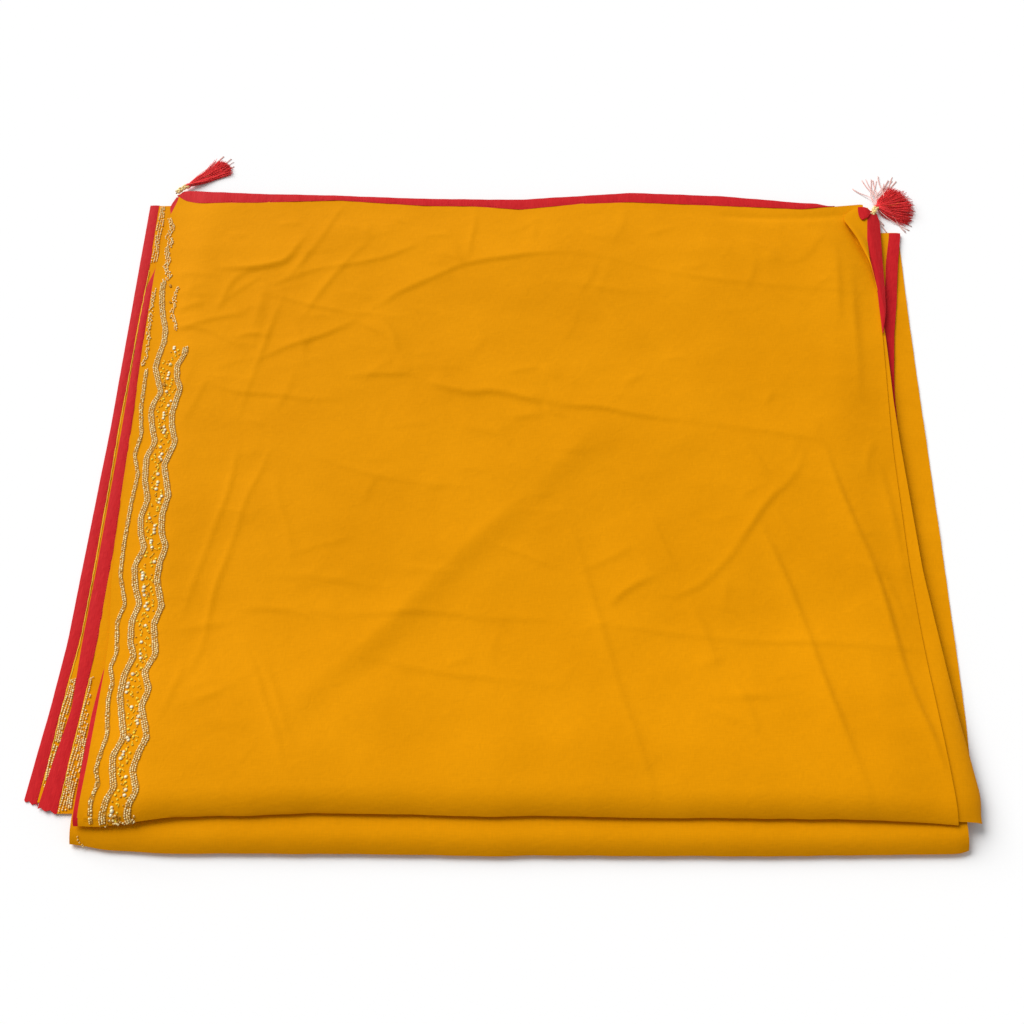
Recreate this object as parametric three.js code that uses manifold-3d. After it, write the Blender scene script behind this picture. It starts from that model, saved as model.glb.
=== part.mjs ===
// A chiffon saree folded into a flat pack and laid on a surface, with its pallu end on top.
// Millimetres, +Z up. X runs along the front folds, Y from the front folds to the far edge.
import * as THREE from 'three';
import { mergeVertices } from 'three/addons/utils/BufferGeometryUtils.js';
import Module from 'manifold-3d';

const wasm = await Module();
wasm.setup();

// Driving dimensions.
const clothWall = 2;          // one lying layer of cloth, with its loft
const seamGap = 0.3;          // between neighbouring pieces
const sideGap = 0.5;          // between a margin and the hidden layers that it comes out of
const layerStep = clothWall + seamGap;
const midHeight = 17;         // the pack in its middle
const rollHeight = 34.3;      // the two front folds, one on the other
const rollRun = 270;          // how far back the top comes down from the front folds
const sideDrop = 7;
const sideRun = 80;
const farDrop = 4.5;
const farRun = 110;
const lowerFold = { height: 17.2, depth: 26, leftEnd: -541, rightEnd: 557 };
const upperFold = { base: lowerFold.height + seamGap, depth: 24 };
const foldReturn = 70;        // where the turned-under cloth of both front folds ends
const marginTop = 4.9;        // underside of the hidden layers above the two lowest margins
const bindingProud = 0.4;     // how far a satin binding stands above its cloth
const columnCount = 24;
const rowCount = 24;
const noseSteps = 8;

// Outlines of the folded pack. Every table has a row for each place where the edge changes its course.
const leftEdge = [
  { y: 20, x: -532 },
  { y: 112, x: -529 },
  { y: 243, x: -530 },
  { y: 294, x: -532 },
  { y: 380, x: -542 },
  { y: 464, x: -545 },
  { y: 604, x: -547 },
  { y: 805, x: -554 },
  { y: 927, x: -555 },
  { y: 1041, x: -547 },
  { y: 1080, x: -537 },
];
const rightEdge = [
  { y: 20, x: 545 },
  { y: 272, x: 541 },
  { y: 397, x: 540 },
  { y: 603, x: 545 },
  { y: 800, x: 558 },
  { y: 885, x: 562 },
  { y: 1080, x: 563 },
];
const farEdge = [
  { x: -540, cloth: 1079, binding: 1093 },
  { x: -491, cloth: 1068, binding: 1088 },
  { x: -410, cloth: 1067, binding: 1084 },
  { x: -278, cloth: 1072, binding: 1082 },
  { x: -141, cloth: 1060, binding: 1076 },
  { x: -61, cloth: 1061, binding: 1075 },
  { x: 13, cloth: 1053, binding: 1074 },
  { x: 107, cloth: 1065, binding: 1083 },
  { x: 189, cloth: 1068, binding: 1088 },
  { x: 336, cloth: 1060, binding: 1081 },
  { x: 463, cloth: 1055, binding: 1066 },
  { x: 563, cloth: 1060, binding: 1064 },
];
const frontEdge = [
  { x: -542, upper: 31, lower: 16 },
  { x: -495, upper: 32, lower: 7 },
  { x: -413, upper: 41, lower: 3 },
  { x: -210, upper: 46, lower: 2 },
  { x: -13, upper: 42, lower: -1 },
  { x: 416, upper: 38, lower: -1 },
  { x: 548, upper: 33, lower: 3 },
  { x: 575, upper: 34, lower: 16 },
];
const leftMargins = [
  { y: 60, outer: -606, outerInside: -591, inner: -589, innerInside: -563 },
  { y: 112, outer: -602, outerInside: -587, inner: -581, innerInside: -560 },
  { y: 194, outer: -596, outerInside: -582, inner: -568, innerInside: -554 },
  { y: 294, outer: -589, outerInside: -573, inner: -569, innerInside: -549 },
  { y: 416, outer: -587, outerInside: -571, inner: -567, innerInside: -548 },
  { y: 635, outer: -583, outerInside: -571, inner: -566, innerInside: -552 },
  { y: 842, outer: -583, outerInside: -569, inner: -567, innerInside: -557 },
  { y: 900, outer: -583, outerInside: -568, inner: -566, innerInside: -553 },
  { y: 950, outer: -583, outerInside: -567, inner: -555, innerInside: -543 },
  { y: 1071, outer: -583, outerInside: -568, inner: -555, innerInside: -543 },
];
const rightMargins = [
  { y: 30, pleat: 574, lowest: 572 },
  { y: 72, pleat: 580, lowest: 575 },
  { y: 176, pleat: 571, lowest: 583 },
  { y: 395, pleat: 557, lowest: 591 },
  { y: 606, pleat: 552, lowest: 598 },
  { y: 853, pleat: 552, lowest: 606 },
  { y: 971, pleat: 552, lowest: 612 },
  { y: 1014, pleat: 552, lowest: 614 },
];
const middleBinding = [
  { y: 577, inside: 553, outside: 559 },
  { y: 682, inside: 551, outside: 567 },
  { y: 810, inside: 556, outside: 580 },
  { y: 880, inside: 560, outside: 592 },
  { y: 896, inside: 576, outside: 595 },
  { y: 948, inside: 584, outside: 604 },
  { y: 1011, inside: 598, outside: 616 },
];
const turnedCorner = [
  { y: 887, left: 559, right: 562, binding: 572 },
  { y: 918, left: 554, right: 557, binding: 575 },
  { y: 941, left: 549, right: 556, binding: 577 },
  { y: 982, left: 535, right: 559, binding: 581 },
  { y: 1024, left: 526, right: 565, binding: 586 },
  { y: 1043, left: 534, right: 568, binding: 584 },
  { y: 1052, left: 546, right: 570, binding: 580 },
];

// Largest folds of the top: a soft ridge (or, below zero, a trough) along a line from one end to the other.
const softFolds = [
  { fromX: 127, fromY: 639, toX: -312, toY: 146, width: 62, height: 7 },
  { fromX: 170, fromY: 560, toX: -250, toY: 90, width: 55, height: -5 },
  { fromX: -194, fromY: 735, toX: 186, toY: 672, width: 28, height: 3 },
  { fromX: -446, fromY: 843, toX: -329, toY: 950, width: 34, height: 5 },
  { fromX: -126, fromY: 912, toX: 275, toY: 930, width: 34, height: 2.5 },
  { fromX: -376, fromY: 348, toX: 378, toY: 296, width: 30, height: 2 },
  { fromX: 325, fromY: 503, toX: 429, toY: 90, width: 34, height: 2.5 },
  { fromX: -389, fromY: 640, toX: -452, toY: 230, width: 30, height: -3 },
];

const tassel = {
  headRadius: 4.6,
  cordRadius: 1.5,
  strandRadius: 0.8,
  strandSteps: 4,
  levels: 3,
  levelStep: 3.4,
  floorGap: 0.5,
};
const collar = { radius: 3.4, bead: 1.4, fromHead: 7.6 };

const mustard = { color: 0xe79d08, roughness: 0.85, metalness: 0 };
const satinRed = { color: 0xd0242c, roughness: 0.55, metalness: 0 };
const threadRed = { color: 0xdc2a3c, roughness: 0.7, metalness: 0 };
const beadGold = { color: 0xd9b676, roughness: 0.35, metalness: 0.6 };

const saree = new THREE.Group();

function addPiece(name, geometry, look) {
  const piece = new THREE.Mesh(geometry, new THREE.MeshStandardMaterial(look));
  piece.name = name;
  saree.add(piece);
}

// The value of one column of a table, straight between its rows.
function readTable(table, key, column, at) {
  let next = 1;
  while (next < table.length - 1 && table[next][key] < at) {
    next += 1;
  }
  const before = table[next - 1];
  const after = table[next];
  const share = THREE.MathUtils.clamp((at - before[key]) / (after[key] - before[key]), 0, 1);
  return THREE.MathUtils.lerp(before[column], after[column], share);
}

function softFoldHeight(x, y) {
  let height = 0;
  for (const fold of softFolds) {
    const runX = fold.toX - fold.fromX;
    const runY = fold.toY - fold.fromY;
    const length = Math.hypot(runX, runY);
    const along = ((x - fold.fromX) * runX + (y - fold.fromY) * runY) / length;
    const across = ((x - fold.fromX) * runY - (y - fold.fromY) * runX) / length;
    const nearest = THREE.MathUtils.clamp(along, 0.15 * length, 0.85 * length);
    const away = Math.hypot(across, (along - nearest) * 0.6) / fold.width;
    height += fold.height * Math.exp(-away * away);
  }
  return height;
}

// Height of the upper face of the top layer.
function packTop(x, y) {
  const left = readTable(leftEdge, 'y', 'x', y);
  const right = readTable(rightEdge, 'y', 'x', y);
  const far = readTable(farEdge, 'x', 'cloth', x);
  const front = readTable(frontEdge, 'x', 'upper', x) + upperFold.depth;
  const roll = 1 - THREE.MathUtils.smoothstep(y, front, front + rollRun);
  const leftSide = 1 - THREE.MathUtils.smoothstep(x, left, left + sideRun);
  const rightSide = THREE.MathUtils.smoothstep(x, right - sideRun, right);
  const farSide = THREE.MathUtils.smoothstep(y, far - farRun, far);
  const inside = (1 - leftSide) * (1 - rightSide) * (1 - farSide);
  const cornerEase = 1 - 0.6 * Math.max(leftSide, rightSide);
  return midHeight + (rollHeight - midHeight) * roll + softFoldHeight(x, y) * inside * (1 - roll)
    - sideDrop * leftSide - (sideDrop - 2) * rightSide - farDrop * farSide * cornerEase;
}

// Stations across and along the top, closer together near its edges.
function station(index, count) {
  const share = index / count;
  return 0.5 * share + 0.5 * (0.5 - 0.5 * Math.cos(Math.PI * share));
}

function rowY(x, row) {
  const far = readTable(farEdge, 'x', 'cloth', x);
  const front = readTable(frontEdge, 'x', 'upper', x) + upperFold.depth;
  return THREE.MathUtils.lerp(far, front, station(row, rowCount));
}

function columnX(column, y) {
  const left = readTable(leftEdge, 'y', 'x', y);
  const right = readTable(rightEdge, 'y', 'x', y);
  return THREE.MathUtils.lerp(left, right, station(column, columnCount));
}

// A point of the top layer's upper face, moved in by depth. Rows past rowCount go round the front fold
// and then back under it.
function topPoint(column, row, depth) {
  if (row <= rowCount) {
    const guessX = columnX(column, rowY(0, row));
    const y = rowY(guessX, row);
    return new THREE.Vector3(columnX(column, y), y, packTop(columnX(column, y), y) - depth);
  }
  const frontX = columnX(column, foldReturn);
  return foldPoint(frontX, row - rowCount, depth);
}

function foldPoint(x, step, depth) {
  const nose = readTable(frontEdge, 'x', 'upper', x);
  const top = packTop(x, nose + upperFold.depth);
  const half = (top - upperFold.base) / 2;
  if (step > noseSteps) {
    return new THREE.Vector3(x, foldReturn, upperFold.base + depth);
  }
  const turn = Math.PI * (0.5 - step / noseSteps);
  const y = nose + upperFold.depth - (upperFold.depth - depth) * Math.cos(turn);
  return new THREE.Vector3(x, y, upperFold.base + half + (half - depth) * Math.sin(turn));
}

function lowerFoldPoint(x, step, depth) {
  const nose = readTable(frontEdge, 'x', 'lower', x);
  const half = lowerFold.height / 2;
  if (step < 0) {
    return new THREE.Vector3(x, foldReturn, lowerFold.height - depth);
  }
  if (step > noseSteps) {
    return new THREE.Vector3(x, foldReturn, depth);
  }
  const turn = Math.PI * (0.5 - step / noseSteps);
  const y = nose + lowerFold.depth - (lowerFold.depth - depth) * Math.cos(turn);
  return new THREE.Vector3(x, y, half + (half - depth) * Math.sin(turn));
}

// A closed solid from points and triangles, turned so that its faces point out.
function solidFrom(points, triangles) {
  let volume = 0;
  for (const [a, b, c] of triangles) {
    volume += points[a].dot(new THREE.Vector3().crossVectors(points[b], points[c]));
  }
  const facing = volume < 0 ? triangles.map(([a, b, c]) => [a, c, b]) : triangles;
  const geometry = new THREE.BufferGeometry();
  geometry.setAttribute('position', new THREE.Float32BufferAttribute(points.flatMap((p) => p.toArray()), 3));
  geometry.setIndex(facing.flat());
  return mergeVertices(geometry, 1e-3);
}

// A wall of cloth between two faces that are grids of the same size.
function clothBetween(rows, columns, outerAt, innerAt) {
  const points = [];
  const triangles = [];
  for (const pointAt of [outerAt, innerAt]) {
    for (let row = 0; row <= rows; row += 1) {
      for (let column = 0; column <= columns; column += 1) {
        points.push(pointAt(column, row));
      }
    }
  }
  const faceSize = (rows + 1) * (columns + 1);
  const at = (side, column, row) => side * faceSize + row * (columns + 1) + column;
  for (let row = 0; row < rows; row += 1) {
    for (let column = 0; column < columns; column += 1) {
      for (const side of [0, 1]) {
        const a = at(side, column, row);
        const b = at(side, column + 1, row);
        const c = at(side, column + 1, row + 1);
        const d = at(side, column, row + 1);
        triangles.push(...(side === 0 ? [[a, b, c], [a, c, d]] : [[a, c, b], [a, d, c]]));
      }
    }
  }
  const rim = [];
  for (let column = 0; column < columns; column += 1) {
    rim.push([column, 0]);
  }
  for (let row = 0; row < rows; row += 1) {
    rim.push([columns, row]);
  }
  for (let column = columns; column > 0; column -= 1) {
    rim.push([column, rows]);
  }
  for (let row = rows; row > 0; row -= 1) {
    rim.push([0, row]);
  }
  rim.forEach(([column, row], index) => {
    const [nextColumn, nextRow] = rim[(index + 1) % rim.length];
    const a = at(0, column, row);
    const b = at(0, nextColumn, nextRow);
    triangles.push([b, a, at(1, column, row)], [b, at(1, column, row), at(1, nextColumn, nextRow)]);
  });
  return solidFrom(points, triangles);
}

// A level strip of cloth between two edges given at each y. The edges may rise with the pack.
function marginStrip(stations, columns, edgesAt, wall) {
  const face = (lift) => (column, row) => {
    const y = stations[row];
    const edges = edgesAt(y);
    const x = THREE.MathUtils.lerp(edges.left, edges.right, column / columns);
    return new THREE.Vector3(x, y, edges.bottom(x, y) + lift);
  };
  return clothBetween(stations.length - 1, columns, face(wall), face(0));
}

// The y of every row of the top along one side, and of every row of a table, from farEnd down to nearEnd.
const stationSpace = 4;
function sideStations(x, farEnd, nearEnd, table) {
  const candidates = table.map((entry) => entry.y);
  for (let row = 0; row <= rowCount; row += 1) {
    candidates.push(rowY(x, row));
  }
  candidates.sort((first, second) => second - first);
  const stations = [farEnd];
  for (const y of candidates) {
    if (y < stations[stations.length - 1] - stationSpace && y > nearEnd + stationSpace) {
      stations.push(y);
    }
  }
  return [...stations, nearEnd];
}

// A side of the hidden layers, straight between the rows of the top.
function hiddenSide(column, y) {
  let row = 1;
  while (row < rowCount && topPoint(column, row, 0).y > y) {
    row += 1;
  }
  const before = topPoint(column, row - 1, 0);
  const after = topPoint(column, row, 0);
  return THREE.MathUtils.lerp(before.x, after.x, (before.y - y) / (before.y - after.y));
}

function hiddenLeft(y) {
  return hiddenSide(1, y);
}

function hiddenRight(y) {
  return hiddenSide(columnCount - 1, y);
}

// Hidden layers: one section for each column of the top, a ring from the far edge over the top, round both
// front folds and back along the underside. Its far side shows the edges of four layers.
const farRow = 1;
const frontUnderRow = rowCount - 3;
const layerEdges = 4;
const edgeSwell = 4;
const edgeGroove = 1;

function hiddenSection(column) {
  const frontX = columnX(column, foldReturn);
  const behind = foldReturn + sideGap;
  const outermost = column === 1 || column === columnCount - 1;
  const underside = outermost ? marginTop : 0;
  const ring = [];
  for (let row = farRow; row <= rowCount + noseSteps; row += 1) {
    ring.push(topPoint(column, row, layerStep));
  }
  ring.push(new THREE.Vector3(frontX, behind, foldPoint(frontX, noseSteps, layerStep).z));
  ring.push(new THREE.Vector3(frontX, behind, lowerFold.height - layerStep));
  for (let step = 0; step <= noseSteps; step += 1) {
    ring.push(lowerFoldPoint(frontX, step, layerStep));
  }
  ring.push(new THREE.Vector3(frontX, behind, layerStep));
  ring.push(new THREE.Vector3(frontX, behind + 6, underside));
  for (let row = frontUnderRow; row >= farRow; row -= 1) {
    const edge = topPoint(column, row, 0);
    ring.push(new THREE.Vector3(edge.x, edge.y, underside));
  }
  for (let half = 1; half < layerEdges * 2; half += 1) {
    const z = THREE.MathUtils.lerp(underside, ring[0].z, half / (layerEdges * 2));
    ring.push(new THREE.Vector3(ring[0].x, ring[0].y + (half % 2 === 1 ? edgeSwell : edgeGroove), z));
  }
  return ring;
}

// The end of the hidden layers, straight down under every row, with its front and its far side filled in.
function hiddenEnd(ring) {
  const topAt = (row) => row - farRow;
  const underAt = (row) => ring.length - (layerEdges * 2 - 1) - 1 - (row - farRow);
  const triangles = [];
  for (let row = farRow; row < frontUnderRow; row += 1) {
    triangles.push([topAt(row), topAt(row + 1), underAt(row + 1)]);
    triangles.push([topAt(row), underAt(row + 1), underAt(row)]);
  }
  const span = (from, to) => Array.from({ length: to - from + 1 }, (_, index) => from + index);
  const patches = [
    span(topAt(frontUnderRow), underAt(frontUnderRow)),
    [topAt(farRow), ...span(underAt(farRow), ring.length - 1)],
  ];
  for (const patch of patches) {
    const outline = patch.map((index) => new THREE.Vector2(ring[index].y, ring[index].z));
    for (const corners of THREE.ShapeUtils.triangulateShape(outline, [])) {
      triangles.push(corners.map((corner) => patch[corner]).sort((first, second) => first - second));
    }
  }
  return triangles;
}

function hiddenLayers() {
  const rings = [];
  for (let column = 1; column < columnCount; column += 1) {
    rings.push(hiddenSection(column));
  }
  const size = rings[0].length;
  const triangles = [];
  for (let column = 0; column < rings.length - 1; column += 1) {
    for (let step = 0; step < size; step += 1) {
      const next = (step + 1) % size;
      const a = column * size + step;
      const b = column * size + next;
      triangles.push([a, a + size, b + size], [a, b + size, b]);
    }
  }
  const last = (rings.length - 1) * size;
  triangles.push(...hiddenEnd(rings[0]));
  triangles.push(...hiddenEnd(rings[rings.length - 1]).map(([a, b, c]) => [last + a, last + c, last + b]));
  return solidFrom(rings.flat(), triangles);
}

addPiece('hidden_layers', hiddenLayers(), mustard);

// The pallu stretch: the top layer, its front fold and the cloth turned back under it.
addPiece('pallu_stretch', clothBetween(
  rowCount + noseSteps + 1,
  columnCount,
  (column, row) => topPoint(column, row, 0),
  (column, row) => topPoint(column, row, clothWall),
), mustard);

// The lower front fold reaches a little past the pallu's fold at both ends.
function lowerFoldX(column) {
  if (column === 0) {
    return lowerFold.leftEnd;
  }
  return column === columnCount ? lowerFold.rightEnd : columnX(column, foldReturn);
}
addPiece('front_lower_fold', clothBetween(
  noseSteps + 2,
  columnCount,
  (column, row) => lowerFoldPoint(lowerFoldX(column), row - 1, 0),
  (column, row) => lowerFoldPoint(lowerFoldX(column), row - 1, clothWall),
), mustard);

// The satin strip along the far edge, from the cloth's edge outwards.
const bindingFall = 1.4;
function endBindingPoint(column, row, lift) {
  const edge = topPoint(column, 0, 0);
  const out = readTable(farEdge, 'x', 'binding', edge.x);
  const y = THREE.MathUtils.lerp(edge.y + seamGap, out, row / 2);
  return new THREE.Vector3(edge.x, y, edge.z - bindingFall * (row / 2) + lift);
}
addPiece('pallu_end_binding', clothBetween(
  2,
  columnCount,
  (column, row) => endBindingPoint(column, row, bindingProud),
  (column, row) => endBindingPoint(column, row, -clothWall),
), satinRed);

// Left margins: the lowest visible layer, the next one on it, and the bound edges of both.
const leftSideX = -540;
const leftCloth = { farEnd: 1071, nearEnd: 90, bindingNearEnd: 66 };
const leftStations = sideStations(leftSideX, leftCloth.farEnd, leftCloth.nearEnd, leftMargins);
const marginLevels = [
  { side: 'outer', inside: 'outerInside', bottom: 0 },
  { side: 'inner', inside: 'innerInside', bottom: layerStep },
];
for (const margin of marginLevels) {
  addPiece(`left_margin_${margin.side}`, marginStrip(leftStations, 2, (y) => ({
    left: readTable(leftMargins, 'y', margin.inside, y) + seamGap,
    right: hiddenLeft(y) - sideGap,
    bottom: () => margin.bottom,
  }), clothWall), mustard);
  const bindingStations = [...leftStations, leftCloth.bindingNearEnd];
  addPiece(`left_binding_${margin.side}`, marginStrip(bindingStations, 2, (y) => ({
    left: readTable(leftMargins, 'y', margin.side, y),
    right: readTable(leftMargins, 'y', margin.inside, y),
    bottom: () => margin.bottom,
  }), clothWall - 0.1), satinRed);
}

// The pallu's own left binding, turned under its edge and out by a few millimetres near both ends.
const turnedOut = [
  { y: 40, out: 5 },
  { y: 80, out: 8 },
  { y: 180, out: 8 },
  { y: 250, out: -2 },
  { y: 1030, out: -2 },
  { y: 1048, out: 5 },
  { y: 1060, out: 6 },
];
const topBinding = { farEnd: 1060, nearEnd: 70, under: 12, wall: 1.1, below: layerStep + 1.2 };
addPiece('left_binding_top', marginStrip(
  sideStations(leftSideX, topBinding.farEnd, topBinding.nearEnd, turnedOut),
  2,
  (y) => ({
    left: readTable(leftEdge, 'y', 'x', y) - readTable(turnedOut, 'y', 'out', y),
    right: readTable(leftEdge, 'y', 'x', y) + topBinding.under,
    bottom: (x) => packTop(Math.max(x, readTable(leftEdge, 'y', 'x', y)), y) - topBinding.below,
  }),
  topBinding.wall,
), satinRed);

// Right margins: the lowest layer, the middle layer with its binding, and the pleat under the pallu.
const rightSideX = 560;
const lowerRight = { farEnd: 1014, nearEnd: 90 };
addPiece('right_margin_lower', marginStrip(
  sideStations(rightSideX, lowerRight.farEnd, lowerRight.nearEnd, rightMargins),
  2,
  (y) => ({
    left: hiddenRight(y) + sideGap,
    right: readTable(rightMargins, 'y', 'lowest', y),
    bottom: () => 0,
  }),
  clothWall,
), mustard);
const middleRight = { farEnd: 1011, nearEnd: 577 };
const middleStations = sideStations(rightSideX, middleRight.farEnd, middleRight.nearEnd, middleBinding);
addPiece('right_margin_middle', marginStrip(middleStations, 2, (y) => ({
  left: hiddenRight(y) + sideGap,
  right: readTable(middleBinding, 'y', 'inside', y) - seamGap,
  bottom: () => layerStep,
}), clothWall), mustard);
addPiece('right_binding_lower', marginStrip(middleStations, 2, (y) => ({
  left: readTable(middleBinding, 'y', 'inside', y),
  right: readTable(middleBinding, 'y', 'outside', y),
  bottom: () => layerStep,
}), clothWall + bindingProud), satinRed);

// The pleat comes down in a quarter round from the pallu's fold to its own edge.
const pleat = {
  edgeTop: 8.6,
  depth: layerStep + 0.6,   // its upper face under the pallu's
  farEnd: 640,
  columns: 6,
  noseSteps: 3,
  noseNarrowing: 1.6,       // each step round the fold ends this much further in
  roundness: 0.95,
};
const pleatRows = [];
for (let row = 0; row <= rowCount; row += 1) {
  if (rowY(rightSideX, row) < pleat.farEnd) {
    pleatRows.push(row);
  }
}
function pleatPoint(column, row, depth) {
  const turnSteps = Math.max(0, row - (pleatRows.length - 1));
  const flatY = rowY(rightSideX, pleatRows[Math.min(row, pleatRows.length - 1)]);
  const inner = hiddenRight(flatY) + sideGap;
  const outer = readTable(rightMargins, 'y', 'pleat', flatY) - turnSteps * pleat.noseNarrowing;
  const share = Math.sin((column / pleat.columns) * Math.PI * 0.5);
  const x = THREE.MathUtils.lerp(inner, outer, share);
  const underPallu = Math.min(x, readTable(rightEdge, 'y', 'x', flatY));
  const full = turnSteps === 0
    ? new THREE.Vector3(x, flatY, packTop(underPallu, flatY) - pleat.depth - depth)
    : foldPoint(underPallu, turnSteps, pleat.depth + depth);
  const round = 1 - Math.sqrt(1 - (pleat.roundness * share) ** 2);
  return new THREE.Vector3(x, full.y, THREE.MathUtils.lerp(full.z, pleat.edgeTop - depth, round));
}
addPiece('right_margin_upper', clothBetween(
  pleatRows.length - 1 + pleat.noseSteps,
  pleat.columns,
  (column, row) => pleatPoint(column, row, 0),
  (column, row) => pleatPoint(column, row, clothWall),
), mustard);

// The turned corner lies on the pallu, and its binding beside it.
const cornerCloth = { farEnd: 1052, nearEnd: 887, above: 2 * seamGap };
const cornerBinding = { flatUntil: 563, fallsFrom: 566, fall: 0.25 };
const cornerStations = sideStations(rightSideX, cornerCloth.farEnd, cornerCloth.nearEnd, turnedCorner);
addPiece('corner_flap', marginStrip(cornerStations, 2, (y) => ({
  left: readTable(turnedCorner, 'y', 'left', y),
  right: readTable(turnedCorner, 'y', 'right', y) - seamGap,
  bottom: (x) => packTop(x, y) + cornerCloth.above,
}), clothWall), mustard);
addPiece('right_binding_corner', marginStrip(cornerStations, 4, (y) => ({
  left: readTable(turnedCorner, 'y', 'right', y),
  right: readTable(turnedCorner, 'y', 'binding', y),
  bottom: (x) => packTop(Math.min(x, cornerBinding.flatUntil), y) + cornerCloth.above
    - Math.max(0, x - cornerBinding.fallsFrom) * cornerBinding.fall,
}), clothWall), satinRed);

// Tassels: a knotted head with a stub of cord, and strands that leave it in three levels.
function toManifold(geometry) {
  const bare = geometry.clone();
  bare.deleteAttribute('normal');
  bare.deleteAttribute('uv');
  const merged = mergeVertices(bare, 1e-4);
  return new wasm.Manifold(new wasm.Mesh({
    numProp: 3,
    vertProperties: new Float32Array(merged.attributes.position.array),
    triVerts: new Uint32Array(merged.index.array),
  }));
}

function fromManifold(solid) {
  const mesh = solid.getMesh();
  const geometry = new THREE.BufferGeometry();
  geometry.setAttribute('position', new THREE.Float32BufferAttribute(mesh.vertProperties, 3));
  geometry.setIndex(Array.from(mesh.triVerts));
  return geometry;
}

// A three-sided tapering strand through the points of its course.
function strand(course) {
  const points = [];
  const triangles = [];
  const sides = 3;
  for (let step = 0; step <= tassel.strandSteps; step += 1) {
    const share = step / tassel.strandSteps;
    const centre = course(share);
    const ahead = course(share + 0.01).sub(course(share - 0.01)).normalize();
    const across = new THREE.Vector3(-ahead.y, ahead.x, 0).normalize();
    const up = new THREE.Vector3().crossVectors(ahead, across);
    for (let side = 0; side < sides; side += 1) {
      const turn = (side / sides) * 2 * Math.PI + Math.PI / 2;
      points.push(centre.clone()
        .addScaledVector(across, tassel.strandRadius * Math.cos(turn))
        .addScaledVector(up, tassel.strandRadius * Math.sin(turn)));
    }
  }
  for (let step = 0; step < tassel.strandSteps; step += 1) {
    for (let side = 0; side < sides; side += 1) {
      const next = (side + 1) % sides;
      const a = step * sides + side;
      const b = step * sides + next;
      triangles.push([a, b, b + sides], [a, b + sides, a + sides]);
    }
  }
  const last = tassel.strandSteps * sides;
  triangles.push([0, 2, 1], [last, last + 1, last + 2]);
  return solidFrom(points, triangles);
}

const tasselShapes = [
  {
    name: 'tassel_left', x: -527, y: 1114, z: 6.4, heading: 43, spread: 24, perLevel: 9,
    shortest: 62, longest: 84, cord: 21.8, cordTurn: -115,
  },
  {
    name: 'tassel_right', x: 586, y: 1063, z: 7.4, heading: 24, spread: 148, perLevel: 14,
    shortest: 46, longest: 62, cord: 12.6, cordTurn: -136,
  },
];

// The course of one strand, out of the head and down to just above what it lies on.
function strandCourse(shape, level, index) {
  const share = (index + 0.5 * (level % 2)) / (shape.perLevel - 0.5);
  const turn = THREE.MathUtils.degToRad((share - 0.5) * shape.spread);
  const uneven = 0.5 + 0.5 * Math.sin(index * 2.4 + level * 1.7);
  const length = THREE.MathUtils.lerp(shape.shortest, shape.longest, uneven * Math.cos(turn * 0.4));
  const tipZ = tassel.floorGap + tassel.strandRadius + level * tassel.levelStep - shape.z;
  return (part) => {
    const out = 2 + part * length;
    const sway = 1.5 * Math.sin(part * 3 + index) * part;
    const z = THREE.MathUtils.lerp((level - 1) * 2, tipZ, THREE.MathUtils.smoothstep(part, 0, 0.5));
    return new THREE.Vector3(out * Math.cos(turn), out * Math.sin(turn) + sway, z);
  };
}

for (const shape of tasselShapes) {
  const place = (geometry) => geometry
    .rotateZ(THREE.MathUtils.degToRad(shape.heading))
    .translate(shape.x, shape.y, shape.z);
  const cordHeading = THREE.MathUtils.degToRad(shape.cordTurn - shape.heading);
  const head = new THREE.SphereGeometry(tassel.headRadius, 10, 7).scale(1.25, 1, 1);
  const cord = new THREE.CylinderGeometry(tassel.cordRadius, tassel.cordRadius, shape.cord, 6)
    .rotateZ(Math.PI / 2)
    .translate(shape.cord / 2 + 1, 0, 0)
    .rotateZ(cordHeading);
  let solid = toManifold(head).add(toManifold(cord));
  for (let level = 0; level < tassel.levels; level += 1) {
    for (let index = 0; index < shape.perLevel; index += 1) {
      solid = solid.add(toManifold(strand(strandCourse(shape, level, index))));
    }
  }
  addPiece(shape.name, place(fromManifold(solid)), threadRed);
  const beads = new THREE.TorusGeometry(collar.radius, collar.bead, 6, 10);
  beads.deleteAttribute('normal');
  beads.deleteAttribute('uv');
  const ring = mergeVertices(beads, 1e-3)
    .rotateY(Math.PI / 2)
    .translate(collar.fromHead, 0, 0)
    .rotateZ(cordHeading);
  addPiece(`${shape.name}_collar`, place(ring), beadGold);
}

// The packed saree stands with the middle of its box at the origin.
const box = new THREE.Box3().setFromObject(saree);
saree.position.set(-(box.min.x + box.max.x) / 2, -(box.min.y + box.max.y) / 2, -box.min.z);

export default saree;
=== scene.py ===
import math

import bmesh
import bpy
import numpy as np
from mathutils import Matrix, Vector, noise


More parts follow.
